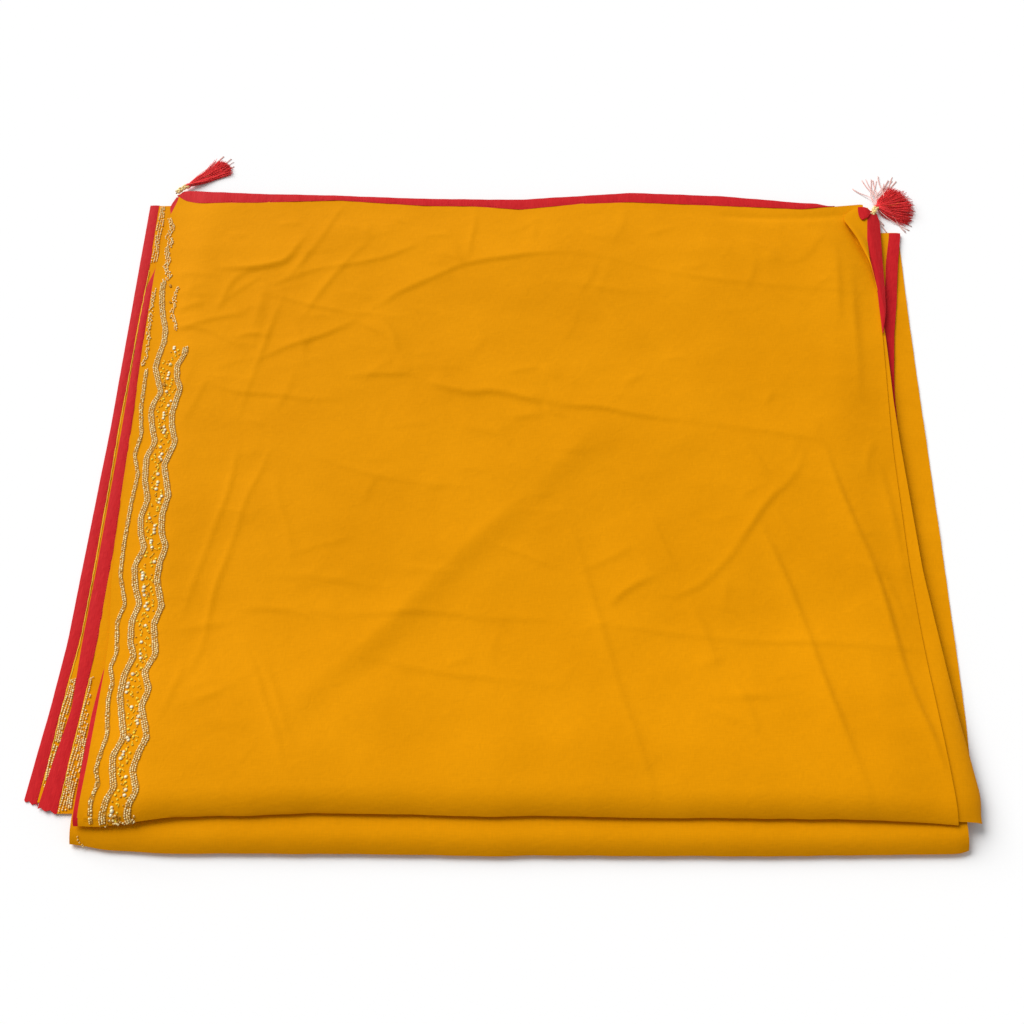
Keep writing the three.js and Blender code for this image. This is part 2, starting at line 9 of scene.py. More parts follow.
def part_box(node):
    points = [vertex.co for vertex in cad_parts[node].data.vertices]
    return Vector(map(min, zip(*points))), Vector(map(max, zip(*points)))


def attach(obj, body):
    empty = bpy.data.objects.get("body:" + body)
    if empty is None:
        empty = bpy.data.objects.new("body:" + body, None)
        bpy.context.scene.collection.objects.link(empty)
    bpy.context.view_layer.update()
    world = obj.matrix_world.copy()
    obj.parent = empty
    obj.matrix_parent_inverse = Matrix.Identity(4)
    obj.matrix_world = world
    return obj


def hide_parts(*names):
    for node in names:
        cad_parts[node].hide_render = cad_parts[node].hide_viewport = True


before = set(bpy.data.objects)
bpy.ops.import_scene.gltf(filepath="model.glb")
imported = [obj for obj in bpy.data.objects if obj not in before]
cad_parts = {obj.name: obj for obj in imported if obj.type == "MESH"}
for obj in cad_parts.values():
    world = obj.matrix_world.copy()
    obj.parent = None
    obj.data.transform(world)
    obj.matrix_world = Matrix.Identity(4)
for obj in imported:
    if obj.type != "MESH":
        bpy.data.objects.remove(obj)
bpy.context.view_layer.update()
bpy.ops.object.select_all(action="DESELECT")
rng = np.random.default_rng(7)

# Sizes below are millimetres in the pack's own grid: x along the front folds, y away from them, z up.
pack = {
    "wall": 1.2,          # one layer of cloth as it lies
    "step": 2.3,          # from one layer to the next
    "midHeight": 17,
    "rollHeight": 34.3,   # both front folds, one on the other
    "rollRun": 270,       # how far back the top comes down from them
    "leftDrop": 7,
    "rightDrop": 5,
    "sideRun": 80,
    "farDrop": 4.5,
    "farRun": 110,
    "farCalm": 0.6,       # the far drop is this much less at both sides
    "foldReturn": 70,     # where the turned-under cloth ends
    "foldLeft": -541,
    "foldFront": -1,
    "hiddenInset": 22,    # how far inside the pallu's edge the hidden layers end
}
lowerFold = {"height": 17.2, "depth": 31, "sag": 0.64, "sink": 2.4, "left": pack["foldLeft"], "right": 557}
upperFold = {"base": 17.5, "depth": 38, "around": 82, "sag": 0.72}

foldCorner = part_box("front_lower_fold")[0]
shiftX = foldCorner.x * 1000 - pack["foldLeft"]
shiftY = foldCorner.y * 1000 - pack["foldFront"]

# Outlines of the pack, one entry wherever an edge changes its course.
leftEdge = {
    "y": [20, 112, 243, 294, 380, 464, 604, 805, 927, 1041, 1080],
    "x": [-532, -529, -530, -532, -542, -545, -547, -554, -555, -547, -537],
}
rightEdge = {
    "y": [20, 272, 397, 603, 800, 885, 1080],
    "x": [545, 541, 540, 545, 558, 562, 563],
}
farEdge = {
    "x": [-541, -526, -508, -491, -410, -278, -141, -61, 13, 107, 189, 336, 463, 515, 551, 563],
    "cloth": [1091, 1078, 1072, 1070, 1070, 1075, 1063, 1062, 1055, 1067, 1071, 1063, 1056, 1063, 1068,
              1062],
    "binding": [1097, 1099, 1098, 1094, 1089, 1085, 1078, 1077, 1076, 1084, 1091, 1084, 1069, 1066, 1070,
                1066],
}
frontEdge = {
    "x": [-542, -495, -413, -210, -13, 416, 548, 575],
    "upper": [34, 34, 43, 49, 45, 41, 34, 33.5],
    "lower": [16, 8, 4, 3, 0.5, 0.5, 4, 16],
}
leftMargins = {
    "y": [60, 112, 194, 294, 416, 635, 842, 900, 950, 1071],
    "outer": [-609, -604, -596, -589, -587, -583, -583, -583, -583, -583],
    "outerInside": [-591, -587, -582, -573, -571, -571, -569, -568, -567, -568],
    "inner": [-589, -581, -568, -569, -567, -566, -567, -566, -554, -534],
    "innerInside": [-563, -560, -554, -549, -548, -552, -557, -553, -542, -522],
}
rightMargins = {
    "y": [30, 72, 176, 395, 606, 680, 735, 790, 853, 971, 1014],
    "pleat": [574, 580, 571, 558, 557, 558, 560.5, 562.5, 564, 564, 564],
    "lowest": [572, 575, 583, 591, 598, 600, 602, 604, 606, 612, 614],
}
middleBinding = {
    "y": [577, 640, 690, 735, 810, 870, 896, 948, 1011],
    "inside": [550, 550, 551, 552, 556, 560, 577, 585, 599],
    "outside": [555, 560, 563, 568, 579, 591, 595, 604, 617],
}
turnedCorner = {
    "y": [800, 845, 890, 918, 944, 988, 1031, 1046, 1056],
    "left": [557, 559, 561, 559, 555, 543, 526.5, 534, 548],
    "right": [558, 559.5, 561.5, 559, 557, 559, 565, 568, 570],
    "binding": [558.6, 569, 574, 576, 578, 582, 586, 584, 580],
}


def along(table, at, key, by="y", reach=9):
    # an edge read from its table, rounded a little where it turns
    shares = (-1, -0.5, 0, 0.5, 1)
    return sum(np.interp(at + reach * share, table[by], table[key]) for share in shares) / len(shares)


def smooth(value, low, high):
    share = np.clip((value - low) / (high - low), 0, 1)
    return share * share * (3 - 2 * share)


def mix(a, b, share):
    return a + (b - a) * share


# Creases of the top layer: height, width of the drop and of the rise, then x and y of each point in turn.
# The cloth rises slowly on the left of a line, as seen from its first point, and drops on its right.
creaseShare = {"height": 1.4, "drop": 0.88, "rise": 0.8}  # all of them together, made higher or narrower
creases = [
    # the big diagonal fold and the sharp crease across the middle
    (3.4, 30, 70, [-305, 155, -260, 222, -180, 295, -120, 370, -30, 470, 60, 560, 125, 640]),
    (1.6, 6, 22, [-245, 720, -195, 725, -145, 725]),
    (3.3, 8, 26, [-125, 711, -95, 700, -60, 690, -35, 695, -5, 690, 20, 680, 52, 675]),
    (1.7, 5, 18, [48, 677, 65, 670, 95, 665, 125, 665, 160, 655, 210, 645, 255, 640]),
    (0.8, 6, 18, [250, 640, 330, 630, 455, 604]),
    (1.1, 5, 9, [48, 672, 55, 655, 72, 648]),
    (1.0, 8, 16, [-5, 645, 20, 650, 45, 652]),
    (1.3, 10, 20, [-75, 636, -50, 626, -25, 624, -8, 630]),
    (0.9, 7, 14, [-26, 622, -10, 610, -4, 595]),
    (0.9, 6, 12, [42, 738, 68, 714]),
    (0.8, 6, 14, [163, 703, 192, 727]),
    # far left, where the pack was pushed together
    (2.8, 7, 20, [-457, 930, -425, 929, -395, 930, -368, 936, -350, 944, -335, 980, -325, 996]),
    (1.6, 6, 12, [-450, 843, -440, 875, -430, 910, -403, 927]),
    (1.3, 9, 24, [-520, 920, -475, 919, -455, 925]),
    (1.0, 5, 10, [-445, 850, -435, 870, -400, 903, -388, 911]),
    (1.4, 5, 18, [-376, 893, -345, 906, -310, 925, -250, 936, -205, 949, -180, 960, -143, 982]),
    (1.2, 6, 10, [-346, 908, -320, 954, -300, 992, -280, 1045, -270, 1066]),
    (1.2, 6, 10, [-316, 833, -300, 870, -275, 915, -240, 970, -220, 992]),
    (1.9, 6, 22, [-506, 808, -480, 819, -450, 830, -420, 836, -407, 842]),
    (1.2, 9, 16, [-512, 848, -470, 861]),
    (1.5, 5, 14, [-512, 815, -466, 811, -440, 796, -415, 781, -398, 774]),
    (1.3, 5, 10, [-412, 794, -390, 800, -363, 795]),
    (1.1, 5, 12, [-401, 887, -385, 880, -350, 870, -315, 856, -275, 846, -245, 840, -233, 824]),
    (1.6, 5, 20, [-378, 748, -340, 774, -305, 786, -265, 806, -234, 827]),
    (1.3, 5, 14, [-235, 826, -190, 796, -168, 768]),
    (1.2, 6, 10, [-222, 852, -200, 830, -180, 805, -170, 768]),
    (0.7, 6, 10, [-395, 803, -386, 836, -384, 882]),
    (1.1, 5, 9, [-395, 655, -390, 690, -376, 750, -365, 815, -350, 872]),
    (1.1, 5, 14, [-458, 717, -410, 691, -370, 689, -330, 685, -290, 676, -245, 680]),
    (0.9, 6, 10, [-476, 638, -465, 665, -450, 717]),
    # the long arc under the far edge
    (2.0, 5, 20, [-203, 853, -175, 880, -140, 900, -110, 916, -85, 934, -45, 945, -5, 951, 35, 959,
                  80, 961]),
    (0.9, 7, 22, [75, 962, 137, 957, 198, 933, 275, 913, 381, 897, 533, 883]),
    (1.1, 5, 10, [-117, 961, -100, 955, -73, 944]),
    (0.9, 5, 8, [-70, 950, -61, 1020, -56, 1057]),
    (0.7, 8, 16, [60, 905, 120, 893, 200, 880]),
    # left half: two long ridges that run to the front, and fine lines across
    (1.1, 5, 6, [-440, 320, -430, 375, -420, 415, -413, 455, -400, 505, -395, 555, -390, 607]),
    (1.2, 5, 6, [-430, 224, -414, 250, -405, 285, -404, 325, -400, 370, -386, 425, -379, 470, -370, 515,
                 -355, 555, -345, 587]),
    (1.3, 9, 12, [-442, 304, -405, 310, -373, 316]),
    (1.0, 6, 14, [-362, 334, -325, 336, -285, 331, -263, 319]),
    (0.9, 6, 10, [-262, 336, -233, 319]),
    (1.1, 6, 18, [-232, 325, -160, 326, -130, 331, -85, 329, -45, 320, 10, 320, 65, 315]),
    (1.0, 6, 20, [-212, 266, -180, 260, -130, 246, -75, 235, -20, 230, 60, 219]),
    (1.0, 7, 8, [-285, 108, -300, 155, -315, 190, -335, 240, -355, 282]),
    (0.8, 7, 8, [-275, 124, -310, 225, -331, 262]),
    (0.8, 6, 16, [-286, 581, -245, 564, -195, 546, -140, 535, -90, 530, -50, 524]),
    (1.0, 6, 16, [-36, 441, 10, 420, 66, 394]),
    (0.8, 7, 16, [-316, 386, -265, 384, -220, 375, -155, 364]),
    (0.7, 7, 8, [-300, 404, -310, 460, -330, 505, -331, 552]),
    # right half: a curved crease, a nick, long falls towards the front and one line across
    (1.5, 5, 16, [200, 353, 225, 354, 255, 370, 280, 395, 305, 426, 330, 466, 360, 510, 390, 536, 410, 566,
                  415, 597]),
    (1.5, 5, 14, [128, 338, 150, 360, 175, 376, 197, 386]),
    (1.9, 6, 24, [438, 66, 425, 120, 415, 165, 401, 225, 390, 290, 375, 355, 356, 420, 340, 472]),
    (2.3, 5, 22, [542, 72, 530, 145, 513, 210, 506, 270, 500, 335, 489, 405, 470, 475, 455, 540, 445, 597]),
    (1.0, 6, 12, [521, 313, 512, 350, 503, 386, 484, 432]),
    (1.0, 7, 18, [176, 48, 170, 80, 155, 145, 136, 210, 120, 290, 106, 350, 94, 400, 80, 467]),
    (0.9, 8, 14, [221, 388, 206, 425, 190, 487]),
    (0.9, 8, 14, [262, 248, 257, 285, 234, 347]),
    (0.9, 8, 14, [307, 143, 303, 178, 284, 227]),
    (0.8, 7, 12, [253, 186, 285, 170, 312, 154]),
    (0.8, 7, 12, [361, 543, 345, 576, 324, 607]),
    (0.8, 7, 12, [396, 438, 372, 466, 364, 492]),
    (1.0, 6, 16, [108, 311, 165, 305, 220, 296, 270, 290, 320, 285, 400, 285, 455, 280, 545, 274]),
    (1.1, 7, 16, [531, 348, 531, 405, 529, 465, 519, 577]),
    # the hollow beside the turned corner
    (-5.2, 9, 15, [568, 868, 565, 900, 561, 930, 556, 950, 548, 982, 534, 1031]),
    (-2.2, 9, 14, [330, 1042, 400, 1036, 470, 1038, 515, 1044, 545, 1050]),
    # two soft falls beside the right edge
    (1.5, 9, 20, [505, 680, 511, 740, 516, 800, 520, 865, 525, 930]),
    (1.0, 7, 14, [494, 830, 499, 880, 503, 930, 506, 975]),
]

# Smaller creases between them, thicker on the ground towards the far left.
fineCreases = {"count": 130, "height": (0.25, 0.75), "length": (28, 95), "drop": (5, 8), "rise": (8, 20)}
for _ in range(fineCreases["count"]):
    fineX = mix(-505, 520, rng.random() ** 1.25)
    fineY = mix(1030, 110, rng.random() ** 1.3)
    heading = rng.choice([0.05, 0.35, 1.25, 2.8]) + rng.normal(0, 0.25)
    reach = rng.uniform(*fineCreases["length"]) / 2
    bow = rng.normal(0, 0.12) * reach
    runX = math.cos(heading) * reach
    runY = math.sin(heading) * reach
    creases.append((
        rng.uniform(*fineCreases["height"]), rng.uniform(*fineCreases["drop"]),
        rng.uniform(*fineCreases["rise"]),
        [fineX - runX, fineY - runY, fineX - runY / reach * bow, fineY + runX / reach * bow,
         fineX + runX, fineY + runY],
    ))


def rounded(line):
    # the line with its corners cut twice, so that a crease bends softly
    points = np.array(line, float).reshape(-1, 2)
    for _ in range(2):
        quarter = points[:-1] * 0.75 + points[1:] * 0.25
        threeQuarter = points[:-1] * 0.25 + points[1:] * 0.75
        between = np.stack([quarter, threeQuarter], axis=1).reshape(-1, 2)
        points = np.vstack([points[:1], between, points[-1:]])
    return points


def creaseHeight(x, y, crease):
    # height that one crease adds, for points near it only
    high, drop, rise, line = crease
    rise = rise * creaseShare["rise"]
    drop = drop * creaseShare["drop"]
    height = np.zeros_like(x)
    points = rounded(line)
    reach = max(drop * 2.2, rise * 3)
    low = points.min(axis=0) - reach
    top = points.max(axis=0) + reach
    near = (x > low[0]) & (x < top[0]) & (y > low[1]) & (y < top[1])
    if not near.any():
        return height
    nearX = x[near]
    nearY = y[near]
    lengths = np.hypot(*np.diff(points, axis=0).T)
    total = lengths.sum()
    closest = np.full(nearX.shape, 1e9)
    side = np.zeros_like(nearX)
    position = np.zeros_like(nearX)
    walked = 0
    for start, end, length in zip(points[:-1], points[1:], lengths):
        aheadX, aheadY = (end - start) / length
        forward = np.clip((nearX - start[0]) * aheadX + (nearY - start[1]) * aheadY, 0, length)
        awayX = nearX - start[0] - forward * aheadX
        awayY = nearY - start[1] - forward * aheadY
        distance = np.hypot(awayX, awayY)
        closer = distance < closest
        closest = np.where(closer, distance, closest)
        side = np.where(closer, np.sign(aheadX * awayY - aheadY * awayX), side)
        position = np.where(closer, (walked + forward) / total, position)
        walked += length
    fade = np.sqrt(np.clip(np.sin(np.pi * np.clip(position, 0.015, 0.985)), 0, 1))
    uneven = 0.82 + 0.18 * np.sin(position * total / 31 + rise + total)
    slow = np.exp(-closest / rise)
    quick = np.exp(-(closest / drop) ** 2)
    height[near] = high * creaseShare["height"] * fade * uneven * np.where(side > 0, slow, quick)
    return height


undulations = [
    {"size": 190, "height": 2.2, "from": 3},
    {"size": 78, "height": 1.15, "from": 11},
    {"size": 33, "height": 0.26, "from": 23},
]


def waves(x, y, settings):
    # uneven shallow swelling of cloth that was folded and carried
    x, y = np.broadcast_arrays(x, y)
    total = np.zeros(x.size)
    for swell in settings:
        size = swell["size"]
        start = swell["from"]
        total += swell["height"] * np.array([
            noise.noise(Vector((px / size, py / size * 1.35, start)))
            for px, py in zip(x.ravel(), y.ravel())
        ])
    return total.reshape(x.shape)


def packTop(x, y):
    # upper face of the top layer, without its creases
    front = along(frontEdge, x, "upper", "x") + upperFold["depth"]
    far = along(farEdge, x, "cloth", "x")
    roll = 1 - smooth(y, front, front + pack["rollRun"])
    left = along(leftEdge, y, "x")
    right = along(rightEdge, y, "x")
    leftSide = 1 - smooth(x, left, left + pack["sideRun"])
    rightSide = smooth(x, right - pack["sideRun"], right)
    farSide = smooth(y, far - pack["farRun"], far)
    nearSide = np.maximum(leftSide, rightSide)
    return (pack["midHeight"] + (pack["rollHeight"] - pack["midHeight"]) * roll
            - pack["leftDrop"] * leftSide - pack["rightDrop"] * rightSide
            - pack["farDrop"] * farSide * (1 - pack["farCalm"] * nearSide))


detail = {"lowest": -2.9, "highest": 9, "atEdge": 0.2, "hollow": 4.16}


def palluDetail(x, y):
    # creases and swelling, held down along the edges
    left = along(leftEdge, y, "x")
    right = along(rightEdge, y, "x") + 14 * smooth(y, 870, 910)  # beside the turned corner, not at all
    far = along(farEdge, x, "cloth", "x")
    inside = smooth(x, left - 6, left + 26) * (1 - smooth(x, right - 12, right + 6))
    inside = inside * (1 - smooth(y, far - 32, far + 4))
    total = sum(creaseHeight(x, y, crease) for crease in creases) + waves(x, y, undulations)
    hollow = detail["hollow"] * smooth(x, 475, 515) * smooth(y, 845, 890)
    held = mix(detail["atEdge"], 1, inside)
    return np.clip(total, detail["lowest"] - hollow, detail["highest"]) * held


foldSwell = [{"size": 110, "height": 2.6, "from": 41}, {"size": 38, "height": 0.9, "from": 47}]


def foldSection(turned, sag):
    # section of a front fold: its top sags towards the nose, and the cloth then turns under
    out = np.sin(turned)
    return out, np.where(turned < math.pi / 2, 1 - sag * out ** 2.6, (1 - sag) * (1 + np.cos(turned)))


noseOut, noseUp = foldSection(np.linspace(0, math.pi, 81), upperFold["sag"])
noseSteps = np.hypot(np.diff(noseOut) * upperFold["depth"],
                     np.diff(noseUp) * (pack["rollHeight"] - upperFold["base"]))
noseRun = np.concatenate([[0], np.cumsum(noseSteps)]) / noseSteps.sum()


def onPallu(x, run, depth=0):
    # a point of the top layer: run is y on the flat, and from the fold's top on it goes round the fold
    foldTop = along(frontEdge, x, "upper", "x") + upperFold["depth"]
    flatY = np.maximum(run, foldTop)
    top = packTop(x, flatY) + palluDetail(x, flatY)
    turned = np.clip((foldTop - run) / upperFold["around"], 0, 1)
    reach = upperFold["depth"] + waves(x, np.zeros_like(x), foldSwell)
    back = np.maximum(foldTop - upperFold["around"] - run, 0)
    out = np.interp(turned, noseRun, noseOut)
    up = np.interp(turned, noseRun, noseUp)
    y = np.where(turned > 0, foldTop - (reach - depth) * out, run) + back
    z = upperFold["base"] + depth + (top - upperFold["base"] - 2 * depth) * up
    return x, y, np.where(back > 0, upperFold["base"] + depth, z)


def place(x, y, z):
    # pack millimetres to metres in the frame
    x, y, z = np.broadcast_arrays(x, y, z)
    return np.stack([x + shiftX, y + shiftY, z], axis=-1) / 1000


def newObject(name, points, faces, uvs=None):
    mesh = bpy.data.meshes.new(name)
    mesh.from_pydata(points.tolist(), [], faces)
    if uvs is not None:
        layer = mesh.uv_layers.new(name="cloth")
        corners = np.zeros(len(mesh.loops), int)
        mesh.loops.foreach_get("vertex_index", corners)
        layer.data.foreach_set("uv", np.ascontiguousarray(uvs[corners], dtype=np.float32).ravel())
    mesh.validate()
    piece = bpy.data.objects.new(name, mesh)
    bpy.context.collection.objects.link(piece)
    return piece


def faceOut(piece):
    # a closed mesh that is inside out is turned round
    work = bmesh.new()
    work.from_mesh(piece.data)
    if work.calc_volume(signed=True) < 0:
        bmesh.ops.reverse_faces(work, faces=work.faces)
    work.to_mesh(piece.data)
    work.free()


def shadeSoft(piece, degrees=55):
    bpy.ops.object.select_all(action="DESELECT")
    piece.select_set(True)
    bpy.context.view_layer.objects.active = piece
    bpy.ops.object.shade_smooth_by_angle(angle=math.radians(degrees))
    piece.select_set(False)


def wovenSheet(name, shape, columns, rows, flat, coarse=1, wall=pack["wall"]):
    # a sheet of cloth: a fine outer face, an inner one that may be coarser, closed along its rim
    points = []
    uvs = []
    faces = []
    start = 0
    for depth, every in ((0, 1), (wall, coarse)):
        u, v = np.meshgrid(np.linspace(0, 1, columns // every + 1), np.linspace(0, 1, rows // every + 1))
        points.append(place(*shape(u, v, depth)).reshape(-1, 3))
        uvs.append(np.stack([u * flat[0], (1 - v) * flat[1]], axis=-1).reshape(-1, 2))
        wide = columns // every + 1
        for row in range(rows // every):
            for column in range(columns // every):
                a = start + row * wide + column
                quad = (a, a + wide, a + wide + 1, a + 1)
                faces.append(quad if depth == 0 else quad[::-1])
        start += len(points[0])
    wide = columns + 1
    wideUnder = columns // coarse + 1
    under = len(points[0])
    corners = [(0, 0), (0, rows), (columns, rows), (columns, 0), (0, 0)]
    for (fromColumn, fromRow), (toColumn, toRow) in zip(corners[:-1], corners[1:]):
        count = max(abs(toColumn - fromColumn), abs(toRow - fromRow)) // coarse
        stepColumn = (toColumn - fromColumn) // count
        stepRow = (toRow - fromRow) // count
        for index in range(count):
            column = fromColumn + stepColumn * index
            row = fromRow + stepRow * index
            outer = [
                (row + stepRow * part // coarse) * wide + column + stepColumn * part // coarse
                for part in range(coarse + 1)
            ]
            here = under + row // coarse * wideUnder + column // coarse
            following = under + (row + stepRow) // coarse * wideUnder + (column + stepColumn) // coarse
            faces.append(tuple(outer[::-1]) + (here, following))
    piece = newObject(name, np.vstack(points), faces, np.vstack(uvs))
    faceOut(piece)
    shadeSoft(piece)
    return piece


def joined(name, base, spots, turns, scales):
    # many copies of one small mesh as one piece: spots in metres, turns as 3 by 3 matrices, scales per copy
    corners = np.array([v.co for v in base.data.vertices])
    polygons = [tuple(p.vertices) for p in base.data.polygons]
    moved = np.einsum("nij,nkj->nki", turns, corners[None] * scales[:, None, :]) + spots[:, None, :]
    faces = []
    for index in range(len(spots)):
        start = index * len(corners)
        faces.extend(tuple(start + corner for corner in polygon) for polygon in polygons)
    piece = newObject(name, moved.reshape(-1, 3), faces)
    piece.data.shade_smooth()
    return piece


def threads(name, courses, radius, sides=3):
    # many fine threads as one piece; each course is an array of points in millimetres
    points = []
    faces = []
    start = 0
    for course in courses:
        course = np.asarray(course, float)
        ahead = np.gradient(course, axis=0)
        ahead /= np.linalg.norm(ahead, axis=1, keepdims=True) + 1e-9
        across = np.cross(ahead, (0.12, 0.05, 1))
        across /= np.linalg.norm(across, axis=1, keepdims=True) + 1e-9
        above = np.cross(across, ahead)
        turns = 2 * math.pi * np.arange(sides) / sides
        ring = [course + radius * (across * math.cos(turn) + above * math.sin(turn)) for turn in turns]
        points.append(place(*np.stack(ring, axis=1).reshape(-1, 3).T))
        for step in range(len(course) - 1):
            for side in range(sides):
                a = start + step * sides + side
                b = start + step * sides + (side + 1) % sides
                faces.append((a, b, b + sides, a + sides))
        last = start + (len(course) - 1) * sides
        faces.append(tuple(range(start + sides - 1, start - 1, -1)))
        faces.append(tuple(range(last, last + sides)))
        start = last + sides
    piece = newObject(name, np.vstack(points), faces)
    faceOut(piece)
    piece.data.shade_smooth()
    return piece


def loft(name, rings, cut, degrees=80):
    # a closed body through rings with the same number of points
    size = len(rings[0])
    points = np.array(rings, float).reshape(-1, 3)
    faces = []
    for ring in range(len(rings) - 1):
        for step in range(size):
            a = ring * size + step
            b = ring * size + (step + 1) % size
            faces.append((a, b, b + size, a + size))
    last = (len(rings) - 1) * size
    faces.append(tuple(range(size))[::-1])
    faces.append(tuple(range(last, last + size)))
    u, v = np.meshgrid(np.linspace(0, 1, size), np.linspace(0, 1, len(rings)))
    uvs = np.stack([u * cut[0], v * cut[1]], axis=-1).reshape(-1, 2)
    piece = newObject(name, place(*points.T), faces, uvs)
    faceOut(piece)
    shadeSoft(piece, degrees)
    return piece


def linear(hexColour):
    # sRGB hex to the linear colour that a shader takes
    channels = [int(hexColour[i:i + 2], 16) / 255 for i in (0, 2, 4)]
    return tuple(c / 12.92 if c <= 0.04045 else ((c + 0.055) / 1.055) ** 2.4 for c in channels) + (1,)


def addNode(tree, kind, settings=None, links=None):
    node = tree.nodes.new(kind)
    for name, value in (settings or {}).items():
        if name == "stops":
            for stop, (position, colour) in zip(node.color_ramp.elements, value):
                stop.position = position
                stop.color = linear(colour)
        elif name in node.inputs:
            node.inputs[name].default_value = value
        else:
            setattr(node, name, value)
    for name, source in (links or {}).items():
        tree.links.new(source, node.inputs[name])
    return node


def newMaterial(name):
    material = bpy.data.materials.new(name)
    material.use_nodes = True
    tree = material.node_tree
    tree.nodes.clear()
    return material, tree


def finishMaterial(tree, shader):
    addNode(tree, "ShaderNodeOutputMaterial", None, {"Surface": shader.outputs[0]})


def streaks(tree, coords, thread, length, turned):
    # uneven threads: noise drawn out along the thread
    scale = (1 / thread, 1 / length, 1) if turned else (1 / length, 1 / thread, 1)
    mapping = addNode(tree, "ShaderNodeMapping", {"Scale": scale}, {"Vector": coords})
    return addNode(tree, "ShaderNodeTexNoise", {"Scale": 1.0, "Detail": 2.0},
                   {"Vector": mapping.outputs[0]})


def chiffonMaterial():
    # woven polyester chiffon, piece dyed mustard: matte, with a faint warm sheen and a soft crinkle
    material, tree = newMaterial("chiffonWovenDyed")
    uv = addNode(tree, "ShaderNodeTexCoord").outputs["UV"]
    # threads are 0.15 mm apart, too fine to show, so they are drawn 1.2 mm apart
    warp = streaks(tree, uv, 0.0012, 0.012, True)
    weft = streaks(tree, uv, 0.0012, 0.016, False)
    woven = addNode(tree, "ShaderNodeMath", {"operation": "ADD"})
    tree.links.new(warp.outputs["Fac"], woven.inputs[0])
    tree.links.new(weft.outputs["Fac"], woven.inputs[1])
    cloud = addNode(tree, "ShaderNodeTexNoise", {"Scale": 7.0, "Detail": 3.0}, {"Vector": uv})
    crinkle = addNode(tree, "ShaderNodeTexNoise", {"Scale": 55.0, "Detail": 4.0, "Distortion": 0.8},
                      {"Vector": uv})
    dye = addNode(tree, "ShaderNodeValToRGB", {"stops": [(0.3, "DA8D04"), (0.72, "E19306")]},
                  {"Fac": cloud.outputs["Fac"]})
    threadTone = addNode(tree, "ShaderNodeMapRange", {
        "From Min": 0.7, "From Max": 1.3, "To Min": 0.955, "To Max": 1.045,
    }, {"Value": woven.outputs[0]})
    tone = addNode(tree, "ShaderNodeVectorMath", {"operation": "SCALE"},
                   {"Vector": dye.outputs["Color"], "Scale": threadTone.outputs[0]})
    softBump = addNode(tree, "ShaderNodeBump", {"Strength": 0.5, "Distance": 0.0008},
                       {"Height": crinkle.outputs["Fac"]})
    threadBump = addNode(tree, "ShaderNodeBump", {"Strength": 0.25, "Distance": 0.00012},
                         {"Height": woven.outputs[0], "Normal": softBump.outputs[0]})
    shader = addNode(tree, "ShaderNodeBsdfPrincipled", {
        "Roughness": 0.75, "Specular IOR Level": 0.08, "Specular Tint": linear("FFA000"),
        "Sheen Weight": 0.05, "Sheen Roughness": 0.5, "Sheen Tint": linear("FF9E08"),
    }, {"Base Color": tone.outputs[0], "Normal": threadBump.outputs[0]})
    finishMaterial(tree, shader)
    return material


def satinMaterial():
    # woven red satin tape, calendered: smoother than the chiffon, with a soft gloss across its threads
    material, tree = newMaterial("satinTapeWoven")
    uv = addNode(tree, "ShaderNodeTexCoord").outputs["UV"]
    threadNoise = streaks(tree, uv, 0.0011, 0.016, True)
    pucker = addNode(tree, "ShaderNodeTexNoise", {"Scale": 110.0, "Detail": 3.0}, {"Vector": uv})
    dye = addNode(tree, "ShaderNodeValToRGB", {"stops": [(0.35, "BA1D24"), (0.7, "CA2529")]},
                  {"Fac": threadNoise.outputs["Fac"]})
    puckerBump = addNode(tree, "ShaderNodeBump", {"Strength": 0.6, "Distance": 0.001},
                         {"Height": pucker.outputs["Fac"]})
    threadBump = addNode(tree, "ShaderNodeBump", {"Strength": 0.4, "Distance": 0.0002},
                         {"Height": threadNoise.outputs["Fac"], "Normal": puckerBump.outputs[0]})
    shader = addNode(tree, "ShaderNodeBsdfPrincipled", {
        "Roughness": 0.5, "Specular IOR Level": 0.12, "Specular Tint": linear("FF6050"),
        "Sheen Weight": 0.03, "Sheen Roughness": 0.4, "Sheen Tint": linear("FF5048"),
    }, {"Base Color": dye.outputs["Color"], "Normal": threadBump.outputs[0]})
    finishMaterial(tree, shader)
    return material


def threadMaterial(name, dark, light, roughness, metallic=0.0, grain=900.0):
    # twisted yarn or small drawn glass: two tones that change along it
    material, tree = newMaterial(name)
    coords = addNode(tree, "ShaderNodeTexCoord").outputs["Object"]
    twist = addNode(tree, "ShaderNodeTexNoise", {"Scale": grain, "Detail": 2.0}, {"Vector": coords})
    tone = addNode(tree, "ShaderNodeValToRGB", {"stops": [(0.36, dark), (0.64, light)]},
                   {"Fac": twist.outputs["Fac"]})
    bump = addNode(tree, "ShaderNodeBump", {"Strength": 0.4, "Distance": 0.0002},
                   {"Height": twist.outputs["Fac"]})
    shader = addNode(tree, "ShaderNodeBsdfPrincipled", {
        "Roughness": roughness, "Metallic": metallic, "Specular IOR Level": 0.35,
        "Specular Tint": linear(light),
    }, {"Base Color": tone.outputs["Color"], "Normal": bump.outputs[0]})
    finishMaterial(tree, shader)
    return material


